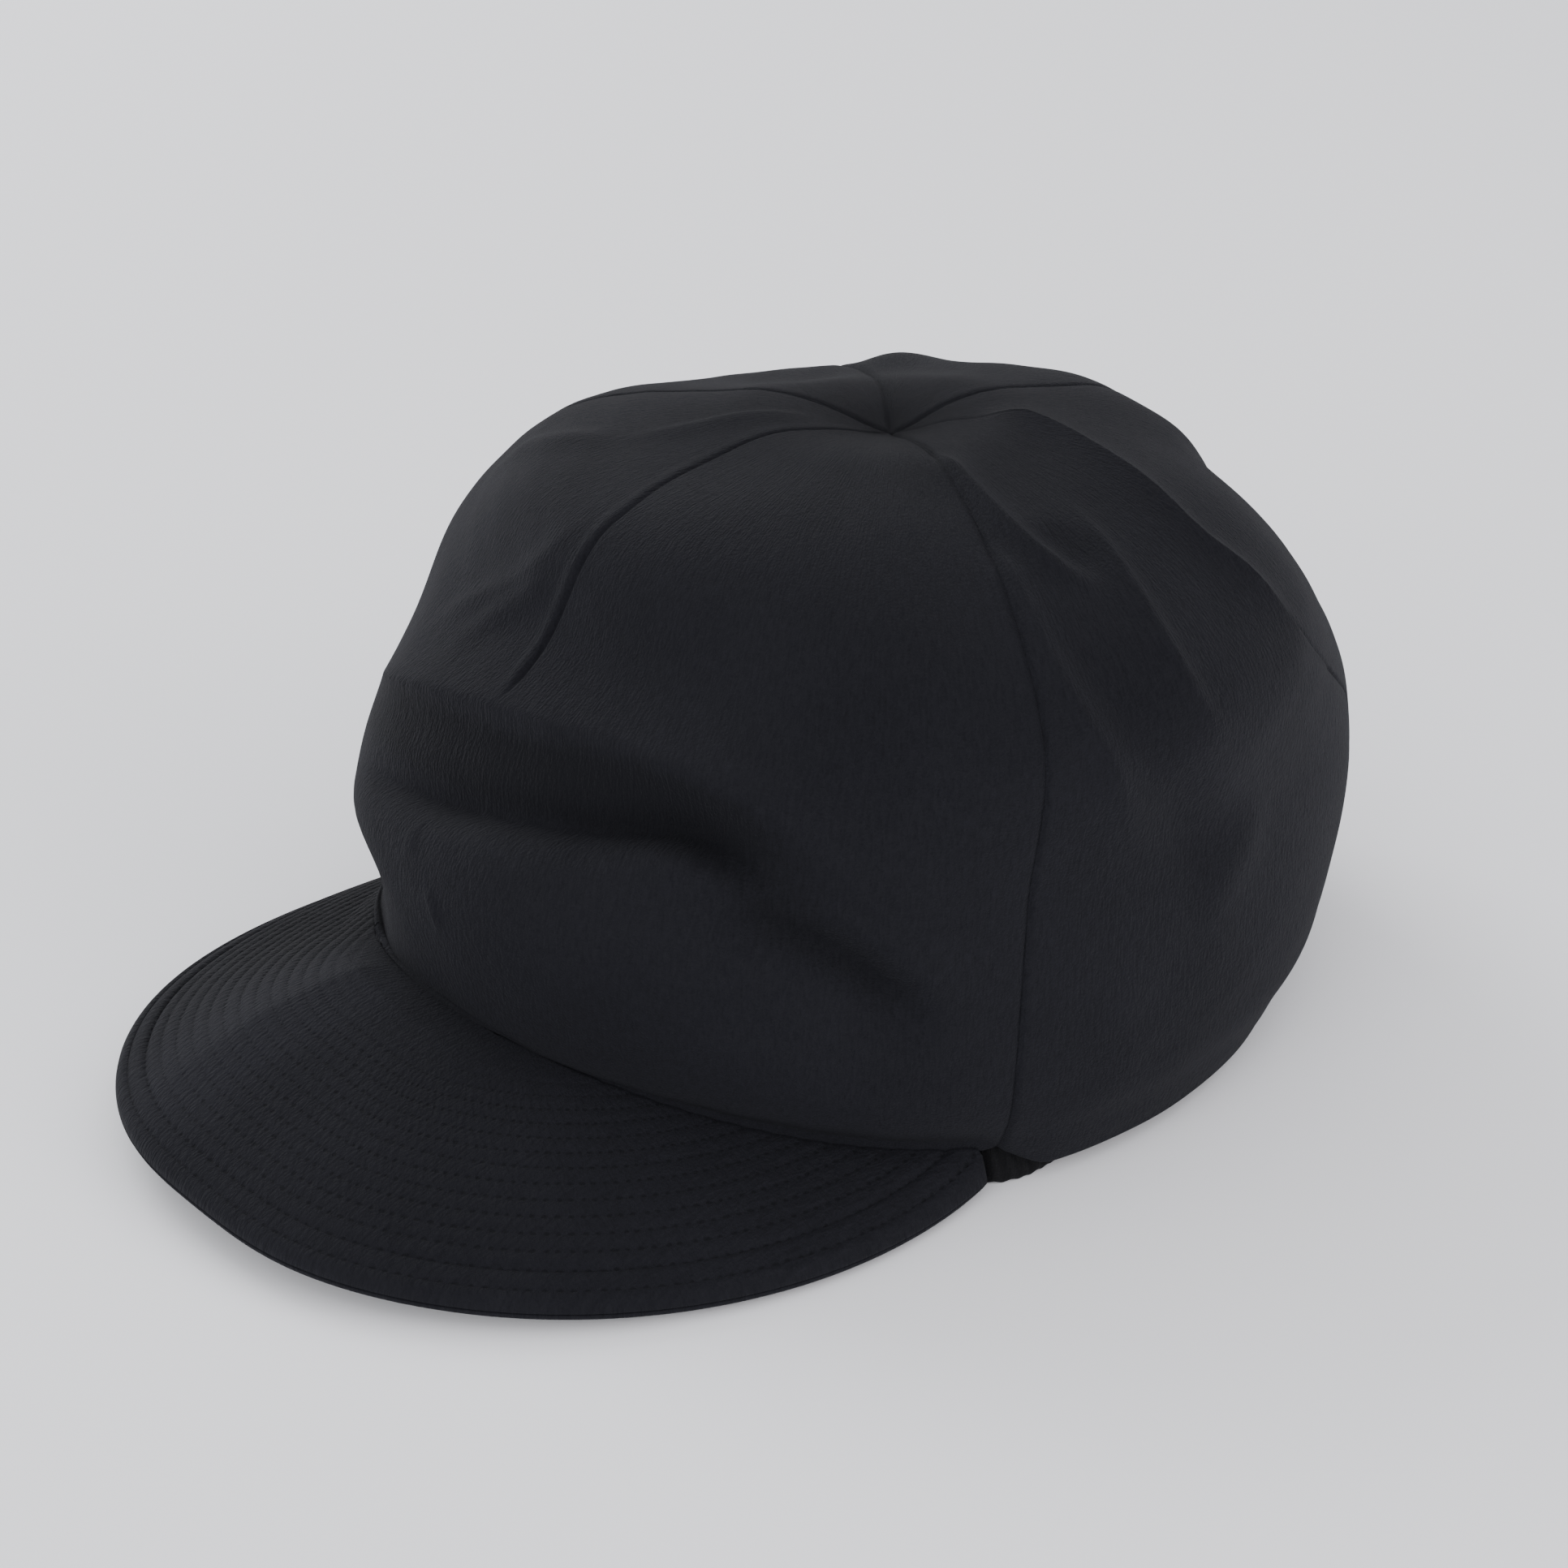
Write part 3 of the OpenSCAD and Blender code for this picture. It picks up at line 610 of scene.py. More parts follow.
def crownSurface(angle, v, seams, deep=0.0):
    # the folded cloth, or the layer that lies deep under it, and the painted shade for its creases
    # seams are the angles of the panel's two edges
    base = crownSkin(angle, v)
    normal = crownNormal(angle, v)
    radius = radiusOf(base, v)
    points = base.reshape(-1, 3)
    calm = np.clip(v / 0.10, 0, 1) * np.clip((1 - v) / 0.05, 0, 1)
    heights, shade = foldHeights(points, normal.reshape(-1, 3))
    out = (heights + softWaves(points)).reshape(angle.shape) * calm - deep
    for seam in seams:
        away = np.abs(np.radians(angle - seam)) * radius
        raised = np.where((seam > 90) & (seam < 150) & (v > 0.5), crown["ridgeSeam"], 1)
        groove = crown["seamDepth"] * hump(away, 0, crown["seamReach"])
        pull = crown["pullDepth"] * np.exp(-away / crown["pullReach"])
        out -= raised * (groove * np.clip(v / 0.01, 0.3, 1) + pull * np.clip((1 - v) / 0.2, 0.3, 1))
    out -= crown["dimple"] * hump(radius, 0, crown["dimpleReach"])
    out += crown["rim"] * hump(radius, crown["rimRadius"], crown["rimReach"])
    away = np.radians(angle - dartAngle(v)) * radius
    cut = np.clip((v - crown["dartLow"]) / 0.03, 0, 1) * (np.abs(angle) < visorEnd)
    groove = hump(away, 0, crown["dartWidth"]) * np.interp(v, *crown["dartRun"])
    lip = np.clip((1 - v) / 0.3, 0, 1) * hump(away, crown["lipAt"], crown["lipWidth"])
    out += cut * (crown["dartLip"] * lip - crown["dartDepth"] * groove)
    turn = np.abs(angle) - visorEnd + crown["blouseStart"]
    side = ease(np.clip(turn / crown["blouseTurn"], 0, 1))
    out += side * crown["blouseOut"] * np.interp(v, *crown["outRun"])
    lap = (1 - side) * crown["hemLap"] * np.clip(1 - v / crown["lapHeight"], 0, 1)
    moved = base + normal * (out + lap)[..., None]
    moved[..., 2] -= crown["lapDrop"] * lap
    moved[..., 2] -= side * crown["blouseDrop"] * np.interp(v, *crown["dropRun"])
    return moved, shade


def hemPoint(turns, offset, z):
    # places beside the hem's line
    th = np.radians(turns)
    return np.stack([(shape["hemHalfWidth"] + offset) * np.sin(th),
                     -(shape["hemHalfLength"] + offset) * np.cos(th), z], -1)


def followBand(piece):
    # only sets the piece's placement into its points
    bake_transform(piece)


def makePanel(name, node, startAt, endAt, dart=False):
    halfway = np.array(0.5)
    start, end = float(startAt(halfway)), float(endAt(halfway))
    shares = panelColumns(start, end, 0.5 if dart else None)
    top = 1 - crown["apexRadius"] / shape["topSpan"]
    # rows of points lie closer at the hem and the top
    levels = np.concatenate([np.linspace(0, 0.04, 15), np.linspace(0.04, 0.9, 112)[1:],
                             np.linspace(0.9, top, 30)[1:]])
    piece, column, row = newGrid(name, len(shares), len(levels))
    v = levels[row]
    left, right = startAt(v), endAt(v)
    angle = left + (right - left) * shares[column]
    if dart:
        angle = angle + dartAngle(v) * (1 - np.abs(angle) / visorEnd)
    points, shade = crownSurface(angle, v, (left, right))
    layOn(piece, points, np.stack([np.radians(angle) * shape["meanRadius"], v * shape["runUp"]], -1))
    # painted shade for the creases goes on as a point attribute
    setPaintedLight(piece, shade)
    addModifier(piece, "SOLIDIFY", thickness=crown["thickness"] * mm, offset=-1)
    finishPiece(piece, "crown" if dart else None, crownCloth, [node])
    if not dart:
        followBand(piece)


makePanel("frontPanel", "front_panel", leftFront, rightFront, dart=True)
makePanel("rightSidePanel", "right_side_panel", rightFront, rearSeam)
makePanel("leftSidePanel", "left_side_panel", leftSeam, leftFront)
makePanel("rightRearPanel", "right_rear_panel", rearSeam, backSeam)
makePanel("leftRearPanel", "left_rear_panel", lambda v: backSeam(v) - 360, leftSeam)
print("crown panels made")

tape = {
    "halfWidth": 5.0, "thickness": 0.5, "depth": 1.25, "low": 0.05, "top": 0.975,
    "leastRadius": 6, "dartStart": 0.08,      # the dart's tape starts this far under the dart
    "patchRadius": 12.0, "patchDepth": 2.1, "patchRaise": 0.28,
}


def makeTape(name, node, seamAt, low=tape["low"]):
    seams = [] if seamAt is dartAngle else [seamAt]
    across = np.linspace(-1, 1, 9)
    levels = np.concatenate([np.linspace(low, 0.88, 60), np.linspace(0.88, tape["top"], 10)[1:]])
    piece, column, row = newGrid(name, len(across), len(levels))
    v = levels[row]
    middle = seamAt(v)
    radius = np.maximum(radiusOf(crownSkin(middle, v), v), tape["leastRadius"])
    angle = middle + np.degrees(across[column] * tape["halfWidth"] / radius)
    points = crownSurface(angle, v, [seam(v) for seam in seams], deep=tape["depth"])[0]
    layOn(piece, points, np.stack([across[column] * tape["halfWidth"], v * shape["runUp"]], -1))
    addModifier(piece, "SOLIDIFY", thickness=tape["thickness"] * mm, offset=-1)
    atBack = abs(float(middle[0])) > visorEnd + 1
    finishPiece(piece, None if atBack else "crown", tapeCloth, [node])
    if atBack:
        followBand(piece)


makeTape("frontDartTape", "front_dart_tape", dartAngle, crown["dartLow"] - tape["dartStart"])
makeTape("rightFrontTape", "right_front_seam_tape", rightFront)
makeTape("leftFrontTape", "left_front_seam_tape", leftFront)
makeTape("rightRearTape", "right_rear_seam_tape", rearSeam)
makeTape("leftRearTape", "left_rear_seam_tape", leftSeam)
makeTape("backTape", "back_seam_tape", backSeam)


def makeApexPatch():
    # a round patch of cloth under the place where the seams meet
    turns = np.linspace(-180, 180, 49)
    rings = np.linspace(0.2, tape["patchRadius"], 12)
    piece, column, row = newGrid("apexPatch", len(turns), len(rings))
    radius = rings[::-1][row]
    v = 1 - radius / shape["topSpan"]
    points = crownSurface(turns[column], v, [], deep=tape["patchDepth"])[0]
    points[:, 2] += tape["patchRaise"]
    th = np.radians(turns[column])
    layOn(piece, points, np.stack([radius * np.sin(th), radius * np.cos(th)], -1))
    addModifier(piece, "WELD", merge_threshold=0.05 * mm)
    addModifier(piece, "SOLIDIFY", thickness=tape["thickness"] * mm, offset=-1)
    finishPiece(piece, "crown", tapeCloth, ["apex_patch"])


makeApexPatch()
print("seam tapes made")


visor = {                                  # turn runs from -1 on the left to 1 on the right, out from 0 to 1
    "gap": 1.0, "drop": 0.3, "halfWidth": 92.5, "midShare": 0.63,
    "tipHeight": 8.5, "sideHeight": 4.5, "bulge": 2.0, "thickness": 3.4, "cover": 0.7,
    "span": 0.99, "edgeRadius": 1.7, "sideRun": 130,      # length of the hem along each half
    "lift": (3.0, -0.25, 0.38),               # height, place, reach: the edge is sprung up left of the middle
    "dip": (0.8, -0.85, 0.22), "flat": (1.9, 0.03, 0.12), "hollow": (2.0, -0.52, 0.2),
    "crest": 4.2, "crestAt": -0.15, "crestReach": (0.13, 0.34), "crestPower": 1.2,
    "crestRun": ([0, 0.15, 0.5, 0.8, 1], [0, 0.9, 1, 0.5, 0]),
    # a painted highlight along the crest, and beside it painted shade and more puckered rows on the left wing
    # near the crown
    "crestHighlight": 0.7, "crestHighlightReach": 0.09, "crestHighlightRun": ([0, 0.1, 0.8, 1], [0, 1, 0.7, 0]),
    "wingShade": 0.5, "wingShadeFrom": -0.28, "wingRows": 0.9, "wingFrom": -0.2, "wingWidth": 0.15,
    "tuckIn": 3.0, "topTuck": 0.8, "underTuck": 0.6,      # the inner edges go in under the hem
    "rows": [2.3, 6.0] + [9.3 + 3.25 * i for i in range(14)],   # distance of each row of stitches from the edge
    "rowDepths": [0.22, 0.5] + [0.13] * 14, "rowWidth": 0.7, "rowFade": (52, 8), "puff": 0.1, "stitch": 2.8,
    "board": 1.0, "boardSpan": 0.93, "boardStart": 0.03, "boardEnd": 0.95, "boardMargin": 2.6, "boardDrop": 0.6,
}
visorBack = -shape["hemHalfLength"] * math.cos(math.radians(visorEnd))
visor["midY"] = -visor["midShare"] * shape["hemHalfLength"]
visor["reach"] = -visorLow[1] + visor["midY"]
visor["sweep"] = 90 + math.degrees(math.asin((visorBack - visor["midY"]) / visor["reach"]))


def swellAt(turn, swell):
    height, at, reach = swell
    return height * hump(turn, at, reach)


def visorEdge(turn):
    t = np.radians(turn * visor["sweep"])
    z = visor["tipHeight"] - (visor["tipHeight"] - visor["sideHeight"]) * np.sin(t) ** 2
    reach = visor["reach"] - swellAt(turn, visor["flat"])
    return np.stack([visor["halfWidth"] * np.sin(t), visor["midY"] - reach * np.cos(t), z], -1)


def visorSkin(turn, out):
    th = np.radians(turn * visorEnd)
    hem = hemPoint(turn * visorEnd, visor["gap"], hemHeightAt(th) - visor["drop"])
    p = hem + (visorEdge(turn) - hem) * out[..., None]
    p[..., 2] += visor["bulge"] * np.sin(np.pi * np.clip(out, 0, 1)) * np.cos(turn * np.pi / 2)
    across = turn - visor["crestAt"]
    crest = np.exp(-(np.abs(across) / np.where(across < 0, *visor["crestReach"])) ** visor["crestPower"])
    crest = crest * visor["crest"] - swellAt(turn, visor["hollow"])
    p[..., 2] += crest * np.interp(out, *visor["crestRun"])
    p[..., 2] += (swellAt(turn, visor["lift"]) - swellAt(turn, visor["dip"])) * np.clip(out, 0, 1)
    return p


edgeTurns = np.linspace(-1, 1, 900)
edgeLine = visorEdge(edgeTurns)
edgeAlong = np.concatenate([[0], np.cumsum(np.linalg.norm(np.diff(edgeLine, axis=0), axis=1))])
edgeRun = np.gradient(edgeLine[:, :2], axis=0)
edgeRun /= np.linalg.norm(edgeRun, axis=1, keepdims=True)


def edgeDistance(points):
    # distance in from the visor's edge, and how far round the edge the nearest point is
    distance = np.empty(len(points))
    along = np.empty(len(points))
    for batch in np.array_split(np.arange(len(points)), 8):
        spots = points[batch, :2]
        gap = np.linalg.norm(spots[:, None] - edgeLine[None, :, :2], axis=-1)
        best = gap.argmin(1)
        away = spots - edgeLine[best, :2]
        beside = np.abs(away[:, 0] * edgeRun[best, 1] - away[:, 1] * edgeRun[best, 0])
        distance[batch] = np.where(gap.min(1) < 6, beside, gap.min(1))     # exact near the edge
        along[batch] = edgeAlong[best] + (away * edgeRun[best]).sum(1)
    return distance, along


def rowAt(distance):
    # the edge is 0 and each row of stitches one more
    return np.interp(distance, [0] + visor["rows"], np.arange(len(visor["rows"]) + 1))


def rowRelief(distance):
    relief = np.zeros_like(distance)
    for at, depth in zip(visor["rows"], visor["rowDepths"]):
        relief -= depth * hump(distance, at, visor["rowWidth"])
    relief += visor["puff"] * np.sin(np.pi * (rowAt(distance) % 1)) ** 0.7
    end, fadeWidth = visor["rowFade"]
    return relief * np.clip((end - distance) / fadeWidth, 0, 1)


def bendWithVisor(piece):
    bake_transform(piece)


def makeVisorCover(name, node, under=False):
    turns = np.linspace(-visor["span"], visor["span"], 330)
    outs = np.concatenate([[-0.05, -0.03, -0.01], np.linspace(0, 0.93, 84), np.linspace(0.93, 1, 14)[1:]])
    piece, column, row = newGrid(name, len(turns), len(outs))
    turn, out = turns[column], outs[row]
    points = visorSkin(turn, np.maximum(out, 0))
    distance, along = edgeDistance(points)
    tuck = np.clip(out / outs[0], 0, 1)
    inward = points[:, :2] / np.linalg.norm(points[:, :2], axis=1, keepdims=True)
    points[:, :2] -= inward * (visor["tuckIn"] * tuck)[:, None]
    ends = (visor["span"] - np.abs(turn)) * visor["sideRun"]
    roll = np.clip(1 - np.minimum(distance, ends) / visor["edgeRadius"], 0, 1)
    turnedIn = visor["edgeRadius"] * (1 - np.sqrt(1 - roll ** 2))
    relief = rowRelief(distance) * np.clip(distance / 2.0, 0, 1) * (1 - tuck)
    relief *= 1 + visor["wingRows"] * np.clip((visor["wingFrom"] - turn) / visor["wingWidth"], 0, 1)
    if under:
        points[:, 2] += -visor["thickness"] - 0.6 * relief + turnedIn + visor["underTuck"] * tuck
    else:
        points[:, 2] += relief - turnedIn - visor["topTuck"] * tuck
    layOn(piece, points, points[:, :2])
    # painted highlight along the crest and painted shade on the wing near the crown, stored for the material
    paintedCrestHighlight = visor["crestHighlight"] * hump(turn, visor["crestAt"], visor["crestHighlightReach"]) * np.interp(out, *visor["crestHighlightRun"])
    paintedWingShade = np.clip((visor["wingShadeFrom"] - turn) / visor["wingWidth"], 0, 1) * np.clip(1.1 - out, 0, 1)
    setPaintedLight(piece, visor["wingShade"] * paintedWingShade - paintedCrestHighlight)
    stitches = np.stack([along / visor["stitch"], rowAt(distance)], -1)
    setMap(piece, piece.data.uv_layers.new(name="stitchMap"), stitches)
    if under:
        editAll(piece, bpy.ops.mesh.flip_normals)
    addModifier(piece, "SOLIDIFY", thickness=visor["cover"] * mm, offset=-1)
    finishPiece(piece, None, visorCloth, [node])
    bendWithVisor(piece)


def makeVisorBoard():
    # the stiff board between the two covers, one closed slab that keeps clear of the edge
    turns = np.linspace(-visor["boardSpan"], visor["boardSpan"], 120)
    outs = np.linspace(0, 1, 26)
    piece, column, row = newGrid("visorBoard", len(turns), len(outs))
    turn = turns[column]
    length = np.linalg.norm(visorSkin(turn, 1 + 0 * turn) - visorSkin(turn, 0 * turn), axis=1)
    start, end = visor["boardStart"], np.minimum(visor["boardEnd"], 1 - visor["boardMargin"] / length)
    points = visorSkin(turn, start + outs[row] * (end - start))
    points[:, 2] -= visor["cover"] + visor["boardDrop"]
    layOn(piece, points, points[:, :2])
    addModifier(piece, "SOLIDIFY", thickness=visor["board"] * mm, offset=-1)
    finishPiece(piece, None, boardPlastic, ["visor_board"])
    bendWithVisor(piece)


makeVisorBoard()
makeVisorCover("visorTopCover", "visor_top_cover")
makeVisorCover("visorUnderCover", "visor_under_cover", under=True)
print("visor covers made")

band = {
    "outer": -1.5, "inner": -4.7, "low": 0.3, "height": 31.6,     # outer and inner are out from the hem's line
    "lean": (3.8, -40, 24),                   # pushed in where the crown sags on the left: depth, angle, reach
    "quilt": 0.35, "channel": 0.9, "channels": (5.0, 27.0), "channelWidth": 0.8, "pucker": 0.12,
}
casing = {
    "outer": -1.2, "inner": -4.8, "top": 9.1, "gather": 2.9, "gatherDepth": 0.44, "cloth": 0.35,
    "start": visorEnd + 0.4, "frontBulge": 3.2, "frontAt": 4, "frontReach": 6, "closing": 1.6, "scallop": 0.225,
    "tuckHeight": 4.2, "tuckAt": 114, "tuckHalf": 28, "tuckRamp": 8,      # drawn up under each side's slack
    "stripLow": 1.6, "stripTuck": 3.52, "stripTop": 8.0, "stripThickness": 1.1, "stripInset": 1.2,
}
casing["middle"] = (casing["outer"] + casing["inner"]) / 2


def hemRun(turns):
    # distance along the hem for each angle
    fine = np.radians(np.linspace(-180, 360, 2161))
    radius = ellipseRadius(shape["hemHalfWidth"], shape["hemHalfLength"], fine)
    line = np.stack([radius * np.sin(fine), -radius * np.cos(fine)], -1)
    along = np.concatenate([[0], np.cumsum(np.linalg.norm(np.diff(line, axis=0), axis=1))])
    return np.interp(turns, np.degrees(fine), along)


def roundedLoop(count, corner):
    # a closed outline from 0 to 1 each way: share across, share up
    turn = np.linspace(0, 2 * np.pi, count)
    c, s = np.cos(turn), np.sin(turn)
    return (np.sign(c) * np.abs(c) ** (1 - corner) + 1) / 2, (np.sign(s) * np.abs(s) ** (1 - corner) + 1) / 2


def newTube(name, turns, count, corner):
    # a strip along the turns, with its outline's share across and share up at each point
    across, up = roundedLoop(count, corner)
    piece, column, row = newGrid(name, len(turns), count)
    return piece, turns[column], across[row], up[row]


def closeUp(piece):
    addModifier(piece, "WELD", merge_threshold=0.02 * mm)
    editAll(piece, bpy.ops.mesh.normals_make_consistent, inside=False)


def makeSweatband():
    # padded band round the inside of the hem, sewn along two channels
    piece, turn, share, rise = newTube("sweatbandCover", np.linspace(-180, 180, 361), 72, 0.8)
    height = band["low"] + rise * band["height"]
    run = hemRun(turn)
    inner = 1 - share
    push = band["quilt"] * np.sin(np.pi * rise) * inner
    pucker = band["pucker"] * np.sin(run / 0.9 + 2 * np.sin(run / 13.0)) * np.exp(-((height - 15) / 14) ** 4)
    for channel in band["channels"]:
        push -= band["channel"] * inner * hump(height, channel, band["channelWidth"])
    offset = band["inner"] + share * (band["outer"] - band["inner"]) - push - pucker * inner
    offset -= swellAt(turn, band["lean"]) * np.clip(1.6 * rise, 0, 1)
    points = hemPoint(turn, offset, hemHeightAt(np.radians(turn)) + height)
    layOn(piece, points, np.stack([run, height + 40 * inner], -1))
    closeUp(piece)
    finishPiece(piece, "crown", bandCloth, ["sweatband", "sweatband_foam"])


def casingTuck(turn):
    # share of the height that the casing is drawn up by
    away = np.abs(np.abs(np.mod(turn + 180, 360) - 180) - casing["tuckAt"])
    return np.clip((casing["tuckHalf"] - away) / casing["tuckRamp"], 0, 1)


def makeCasing():
    # gathered tube of cloth round the elastic
    start, end = casing["start"], 360 - casing["start"]
    piece, turn, share, rise = newTube("elasticCasing", np.linspace(start, end, 1150), 22, 0.55)
    run = hemRun(turn)
    phase = 2 * np.pi * run / casing["gather"] + 1.7 * np.sin(run / 11.0) + 0.9 * np.sin(run / 4.3)
    ruffle = np.sin(phase) + 0.35 * np.sin(0.53 * phase + 1.0)
    outward = 2 * share - 1
    fromEnd = np.minimum(turn - start, end - turn)
    closed = np.clip(fromEnd / casing["closing"], 0, 1) ** 0.5
    low = casing["tuckHeight"] * casingTuck(turn) + casing["scallop"] * (1 - casingTuck(turn)) * (ruffle + 1.35)
    front = casing["frontBulge"] * hump(fromEnd, casing["frontAt"], casing["frontReach"])
    half = (casing["outer"] - casing["inner"]) / 2 * (0.25 + 0.75 * closed) - casing["cloth"]
    depth = casing["gatherDepth"] * ruffle * (0.35 + 0.65 * np.sin(np.pi * rise))
    offset = casing["middle"] + front * (1 - rise) + outward * (half + depth)
    z = low + rise * (casing["top"] - low)
    layOn(piece, hemPoint(turn, offset, z), np.stack([run * 1.6, 9 * rise + 14 * share], -1))
    closeUp(piece)
    addModifier(piece, "SOLIDIFY", thickness=casing["cloth"] * mm, offset=-1)
    finishPiece(piece, None, casingCloth, ["elastic_casing"])
    followBand(piece)


def makeElastic():
    start = casing["start"] + casing["stripInset"]
    piece, turn, share, rise = newTube("elasticStrip", np.linspace(start, 360 - start, 220), 12, 0.8)
    low = casing["stripLow"] + casing["stripTuck"] * casingTuck(turn)
    z = low + rise * (casing["stripTop"] - low)
    offset = casing["middle"] + (share - 0.5) * casing["stripThickness"]
    layOn(piece, hemPoint(turn, offset, z), np.stack([hemRun(turn), z], -1))
    closeUp(piece)
    finishPiece(piece, None, elasticRubber, ["back_elastic"])
    followBand(piece)


makeSweatband()
makeElastic()
makeCasing()
print("sweatband and elastic made")

insert = {
    "halfWidth": 79.7, "halfLength": 89.2, "base": 42.5, "rise": 69.5, "shell": 1.8, "topHole": 7.0,
    "vents": 10, "ventWidth": 9.0, "ventAngle": 52, "trimLow": -1.3, "trimHigh": 3.0, "trimOut": 1.3,
}
insertTop = math.degrees(math.acos(insert["topHole"] / insert["halfWidth"]))


def insertPoint(turn, rise, out):
    th, ph = np.radians(turn), np.radians(rise)
    return np.stack([(insert["halfWidth"] + out) * np.cos(ph) * np.sin(th),
                     -(insert["halfLength"] + out) * np.cos(ph) * np.cos(th),
                     insert["base"] + (insert["rise"] + out) * np.sin(ph)], -1)


def makeInsertShell():
    # the shell's dome, then its ring of vents cut by cylinders
    turns = np.linspace(-180, 180, 145)
    rises = np.linspace(0, insertTop, 36)
    piece, column, row = newGrid("insertShell", len(turns), len(rises))
    layOn(piece, insertPoint(turns[column], rises[row], 0), np.stack([turns[column], rises[row]], -1))
    addModifier(piece, "WELD", merge_threshold=0.02 * mm)
    addModifier(piece, "SOLIDIFY", thickness=insert["shell"] * mm, offset=-1)
    drills = []
    for i in range(insert["vents"]):
        turn = (i + 0.5) * 360 / insert["vents"]
        spot = insertPoint(np.array(turn), np.array(insert["ventAngle"]), 0) * mm
        along = Vector(spot) - Vector((0, 0, insert["base"] * mm))
        bpy.ops.mesh.primitive_cylinder_add(
            vertices=32, radius=insert["ventWidth"] / 2 * mm, depth=0.02, location=spot,
            rotation=along.to_track_quat("Z", "Y").to_euler())
        drills.append(bpy.context.object)
    for drill in drills:
        drill.select_set(True)
    bpy.context.view_layer.objects.active = drills[0]
    bpy.ops.object.join()
    drill = bpy.context.object
    addModifier(piece, "BOOLEAN", operation="DIFFERENCE", solver="EXACT", object=drill)
    selectOnly(drill)
    bpy.ops.object.delete()
    finishPiece(piece, "insert", shellPlastic, ["insert_shell"])
    piece.select_set(True)
    bpy.ops.object.shade_smooth_by_angle(angle=math.radians(35))
    piece.select_set(False)


def makeInsertTrim():
    # soft bead pushed on round the lower edge of the shell
    piece, turn, share, up = newTube("insertTrim", np.linspace(-180, 180, 181), 24, 0.6)
    height = insert["trimLow"] + up * (insert["trimHigh"] - insert["trimLow"])
    rise = np.degrees(np.arcsin(np.clip(height / insert["rise"], -1, 1)))
    out = insert["trimOut"] - (1 - share) * (insert["shell"] + 2 * insert["trimOut"])
    layOn(piece, insertPoint(turn, rise, out), np.stack([hemRun(turn), height], -1))
    closeUp(piece)
    finishPiece(piece, "insert", trimRubber, ["insert_edge_trim"])


pad = {
    "out": -2.4, "thickness": 6.0, "edge": 0.55, "side": (8, 44), "crown": (61, 82),
    "channel": 1.3, "channelWidth": 1.6, "sideTurn": 32, "frontTurn": 38, "inset": 8,
    "endShare": 0.06, "endHeight": 0.14, "endDepth": 0.12,    # its ends' length, lowering and thinness
}


def makePad(name, node, middle, reach, ribs, levels=2, heights=pad["side"]):
    # foam pad with a crowned face and pressed channels across and along it
    low, high = heights
    whole = reach >= 180
    turns = np.linspace(middle - reach, middle + reach, 181 if whole else 97)
    piece, turn, back, rise = newTube(name, turns, 56, 0.75)
    face = 1 - back
    share = (turn - turns[0]) / (turns[-1] - turns[0])
    ends = np.ones_like(turn) if whole else np.clip(np.minimum(share, 1 - share) / pad["endShare"], 0, 1)
    ends = np.sqrt(1 - (1 - ends) ** 2)
    level = low + (high - low) * (0.5 + (rise - 0.5) * (1 - pad["endHeight"] * (1 - ends)))
    plump = pad["edge"] + (1 - pad["edge"]) * np.sin(np.pi * np.clip(rise, 0, 1)) ** 0.5 * (0.5 + 0.5 * ends)
    radius = (insert["halfLength"] - pad["inset"]) * np.cos(np.radians(level))
    run = np.radians(turn - turns[0]) * radius
    length = np.radians(turns[-1] - turns[0]) * radius
    groove = np.zeros_like(turn)
    for i in range(0 if whole else 1, ribs):
        groove = np.maximum(groove, hump(run, length * i / ribs, pad["channelWidth"]))
    for i in range(1, levels):
        groove = np.maximum(groove, hump((rise - i / levels) * (high - low) * 1.3, 0, pad["channelWidth"]))
    depth = pad["thickness"] * plump * (pad["endDepth"] + (1 - pad["endDepth"]) * ends)
    depth -= pad["channel"] * groove * ends
    points = insertPoint(turn, level, pad["out"] - face * depth)
    layOn(piece, points, np.stack([run, level * 1.4 + 30 * (1 - face)], -1))
    closeUp(piece)
    finishPiece(piece, "insert", padFoam, [node])


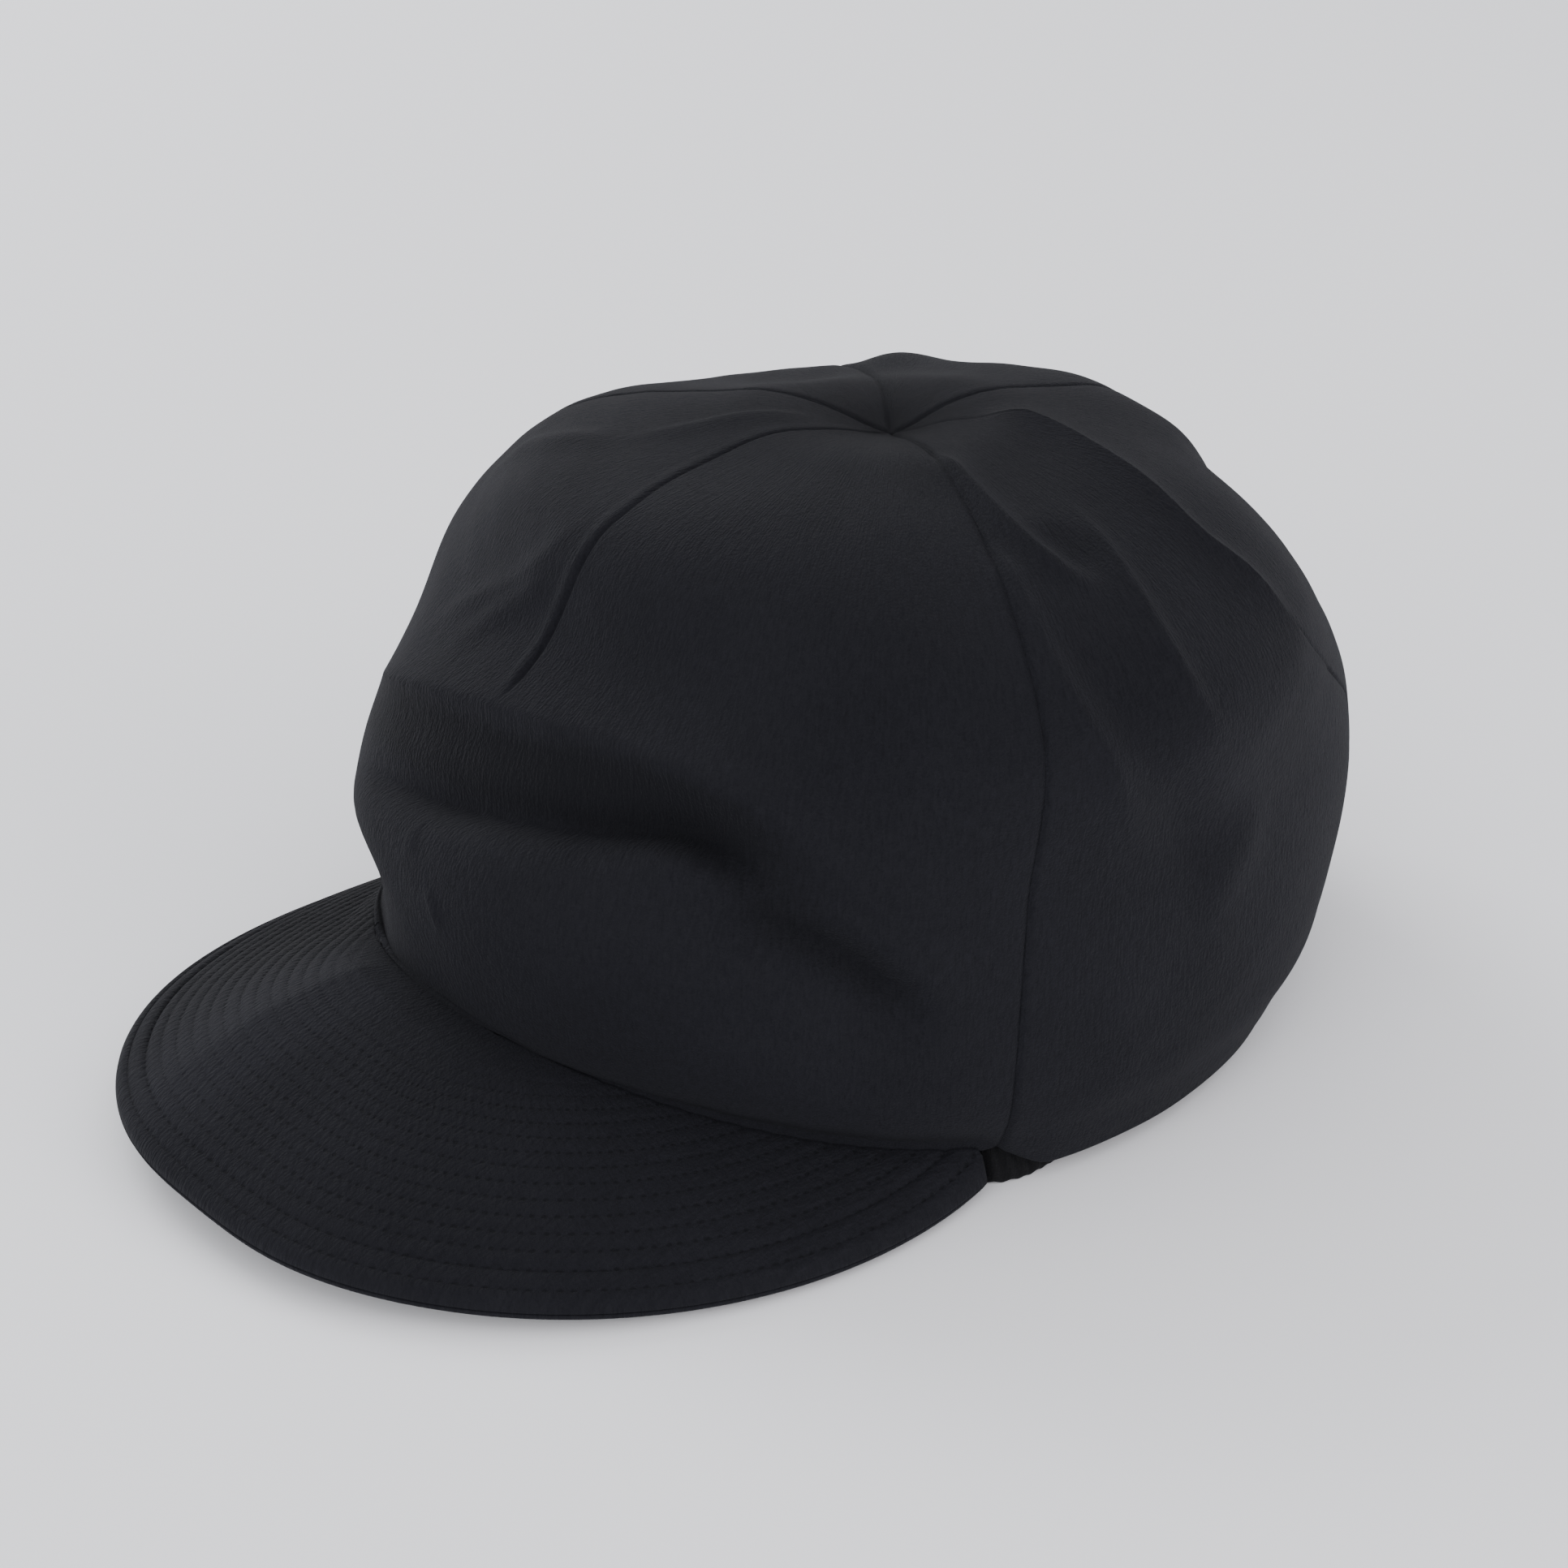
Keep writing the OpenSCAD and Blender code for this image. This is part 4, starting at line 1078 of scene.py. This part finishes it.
makeInsertShell()
makeInsertTrim()
makePad("frontPad", "front_pad", 0, pad["frontTurn"], 4)
makePad("rearPad", "rear_pad", 180, pad["frontTurn"], 4)
makePad("rightPad", "right_pad", 90, pad["sideTurn"], 3)
makePad("leftPad", "left_pad", -90, pad["sideTurn"], 3)
makePad("crownPad", "crown_pad", 0, 180, 8, levels=1, heights=pad["crown"])
print("insert made")

for node, material in (("retaining_tabs", webbing), ("loop_patches", loopPile), ("hook_patches", hookPlastic)):
    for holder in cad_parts[node].material_slots:
        holder.material = material


studio = {
    "floorColor": (0.95, 0.95, 0.98), "worldColor": (0.97, 0.975, 1.0), "worldStrength": 1.08,
    "aim": (0, 0, 0.06),
    "lights": [                               # name, place, size, watts and colour
        ("leftSoftbox", (-1.7, 0.0, 1.3), (1.1, 1.1), 19, (0.97, 0.985, 1.0)),
        ("rightSoftbox", (1.5, 0.5, 0.6), (1.2, 1.2), 11, (1.0, 0.96, 0.98)),
        ("frontFill", (0.8, -1.4, 0.45), (1.6, 1.2), 20, (1, 1, 1)),
    ],
}


def stageFloor():
    bpy.ops.mesh.primitive_plane_add(size=14, location=(0, 0, 0))
    floor = bpy.context.object
    floor.name = "floor"
    floor.data.materials.append(newMaterial("floorPaper", studio["floorColor"], 0.9, Specular_IOR_Level=0.1)[0])


def addLight(name, place, size, power, color):
    bpy.ops.object.light_add(type="AREA", location=place)
    light = bpy.context.object
    light.name = name
    light.data.shape = "RECTANGLE"
    light.data.size, light.data.size_y = size
    light.data.energy = power
    light.data.color = color
    light.rotation_euler = (Vector(place) - Vector(studio["aim"])).to_track_quat("Z", "Y").to_euler()


def lightStage():
    world = bpy.data.worlds.new("studio")
    bpy.context.scene.world = world
    world.use_nodes = True
    sky = world.node_tree.nodes["Background"]
    sky.inputs["Color"].default_value = (*studio["worldColor"], 1)
    sky.inputs["Strength"].default_value = studio["worldStrength"]
    for light in studio["lights"]:
        addLight(*light)


stageFloor()
lightStage()
print("studio set")

bpy.ops.object.select_all(action="DESELECT")
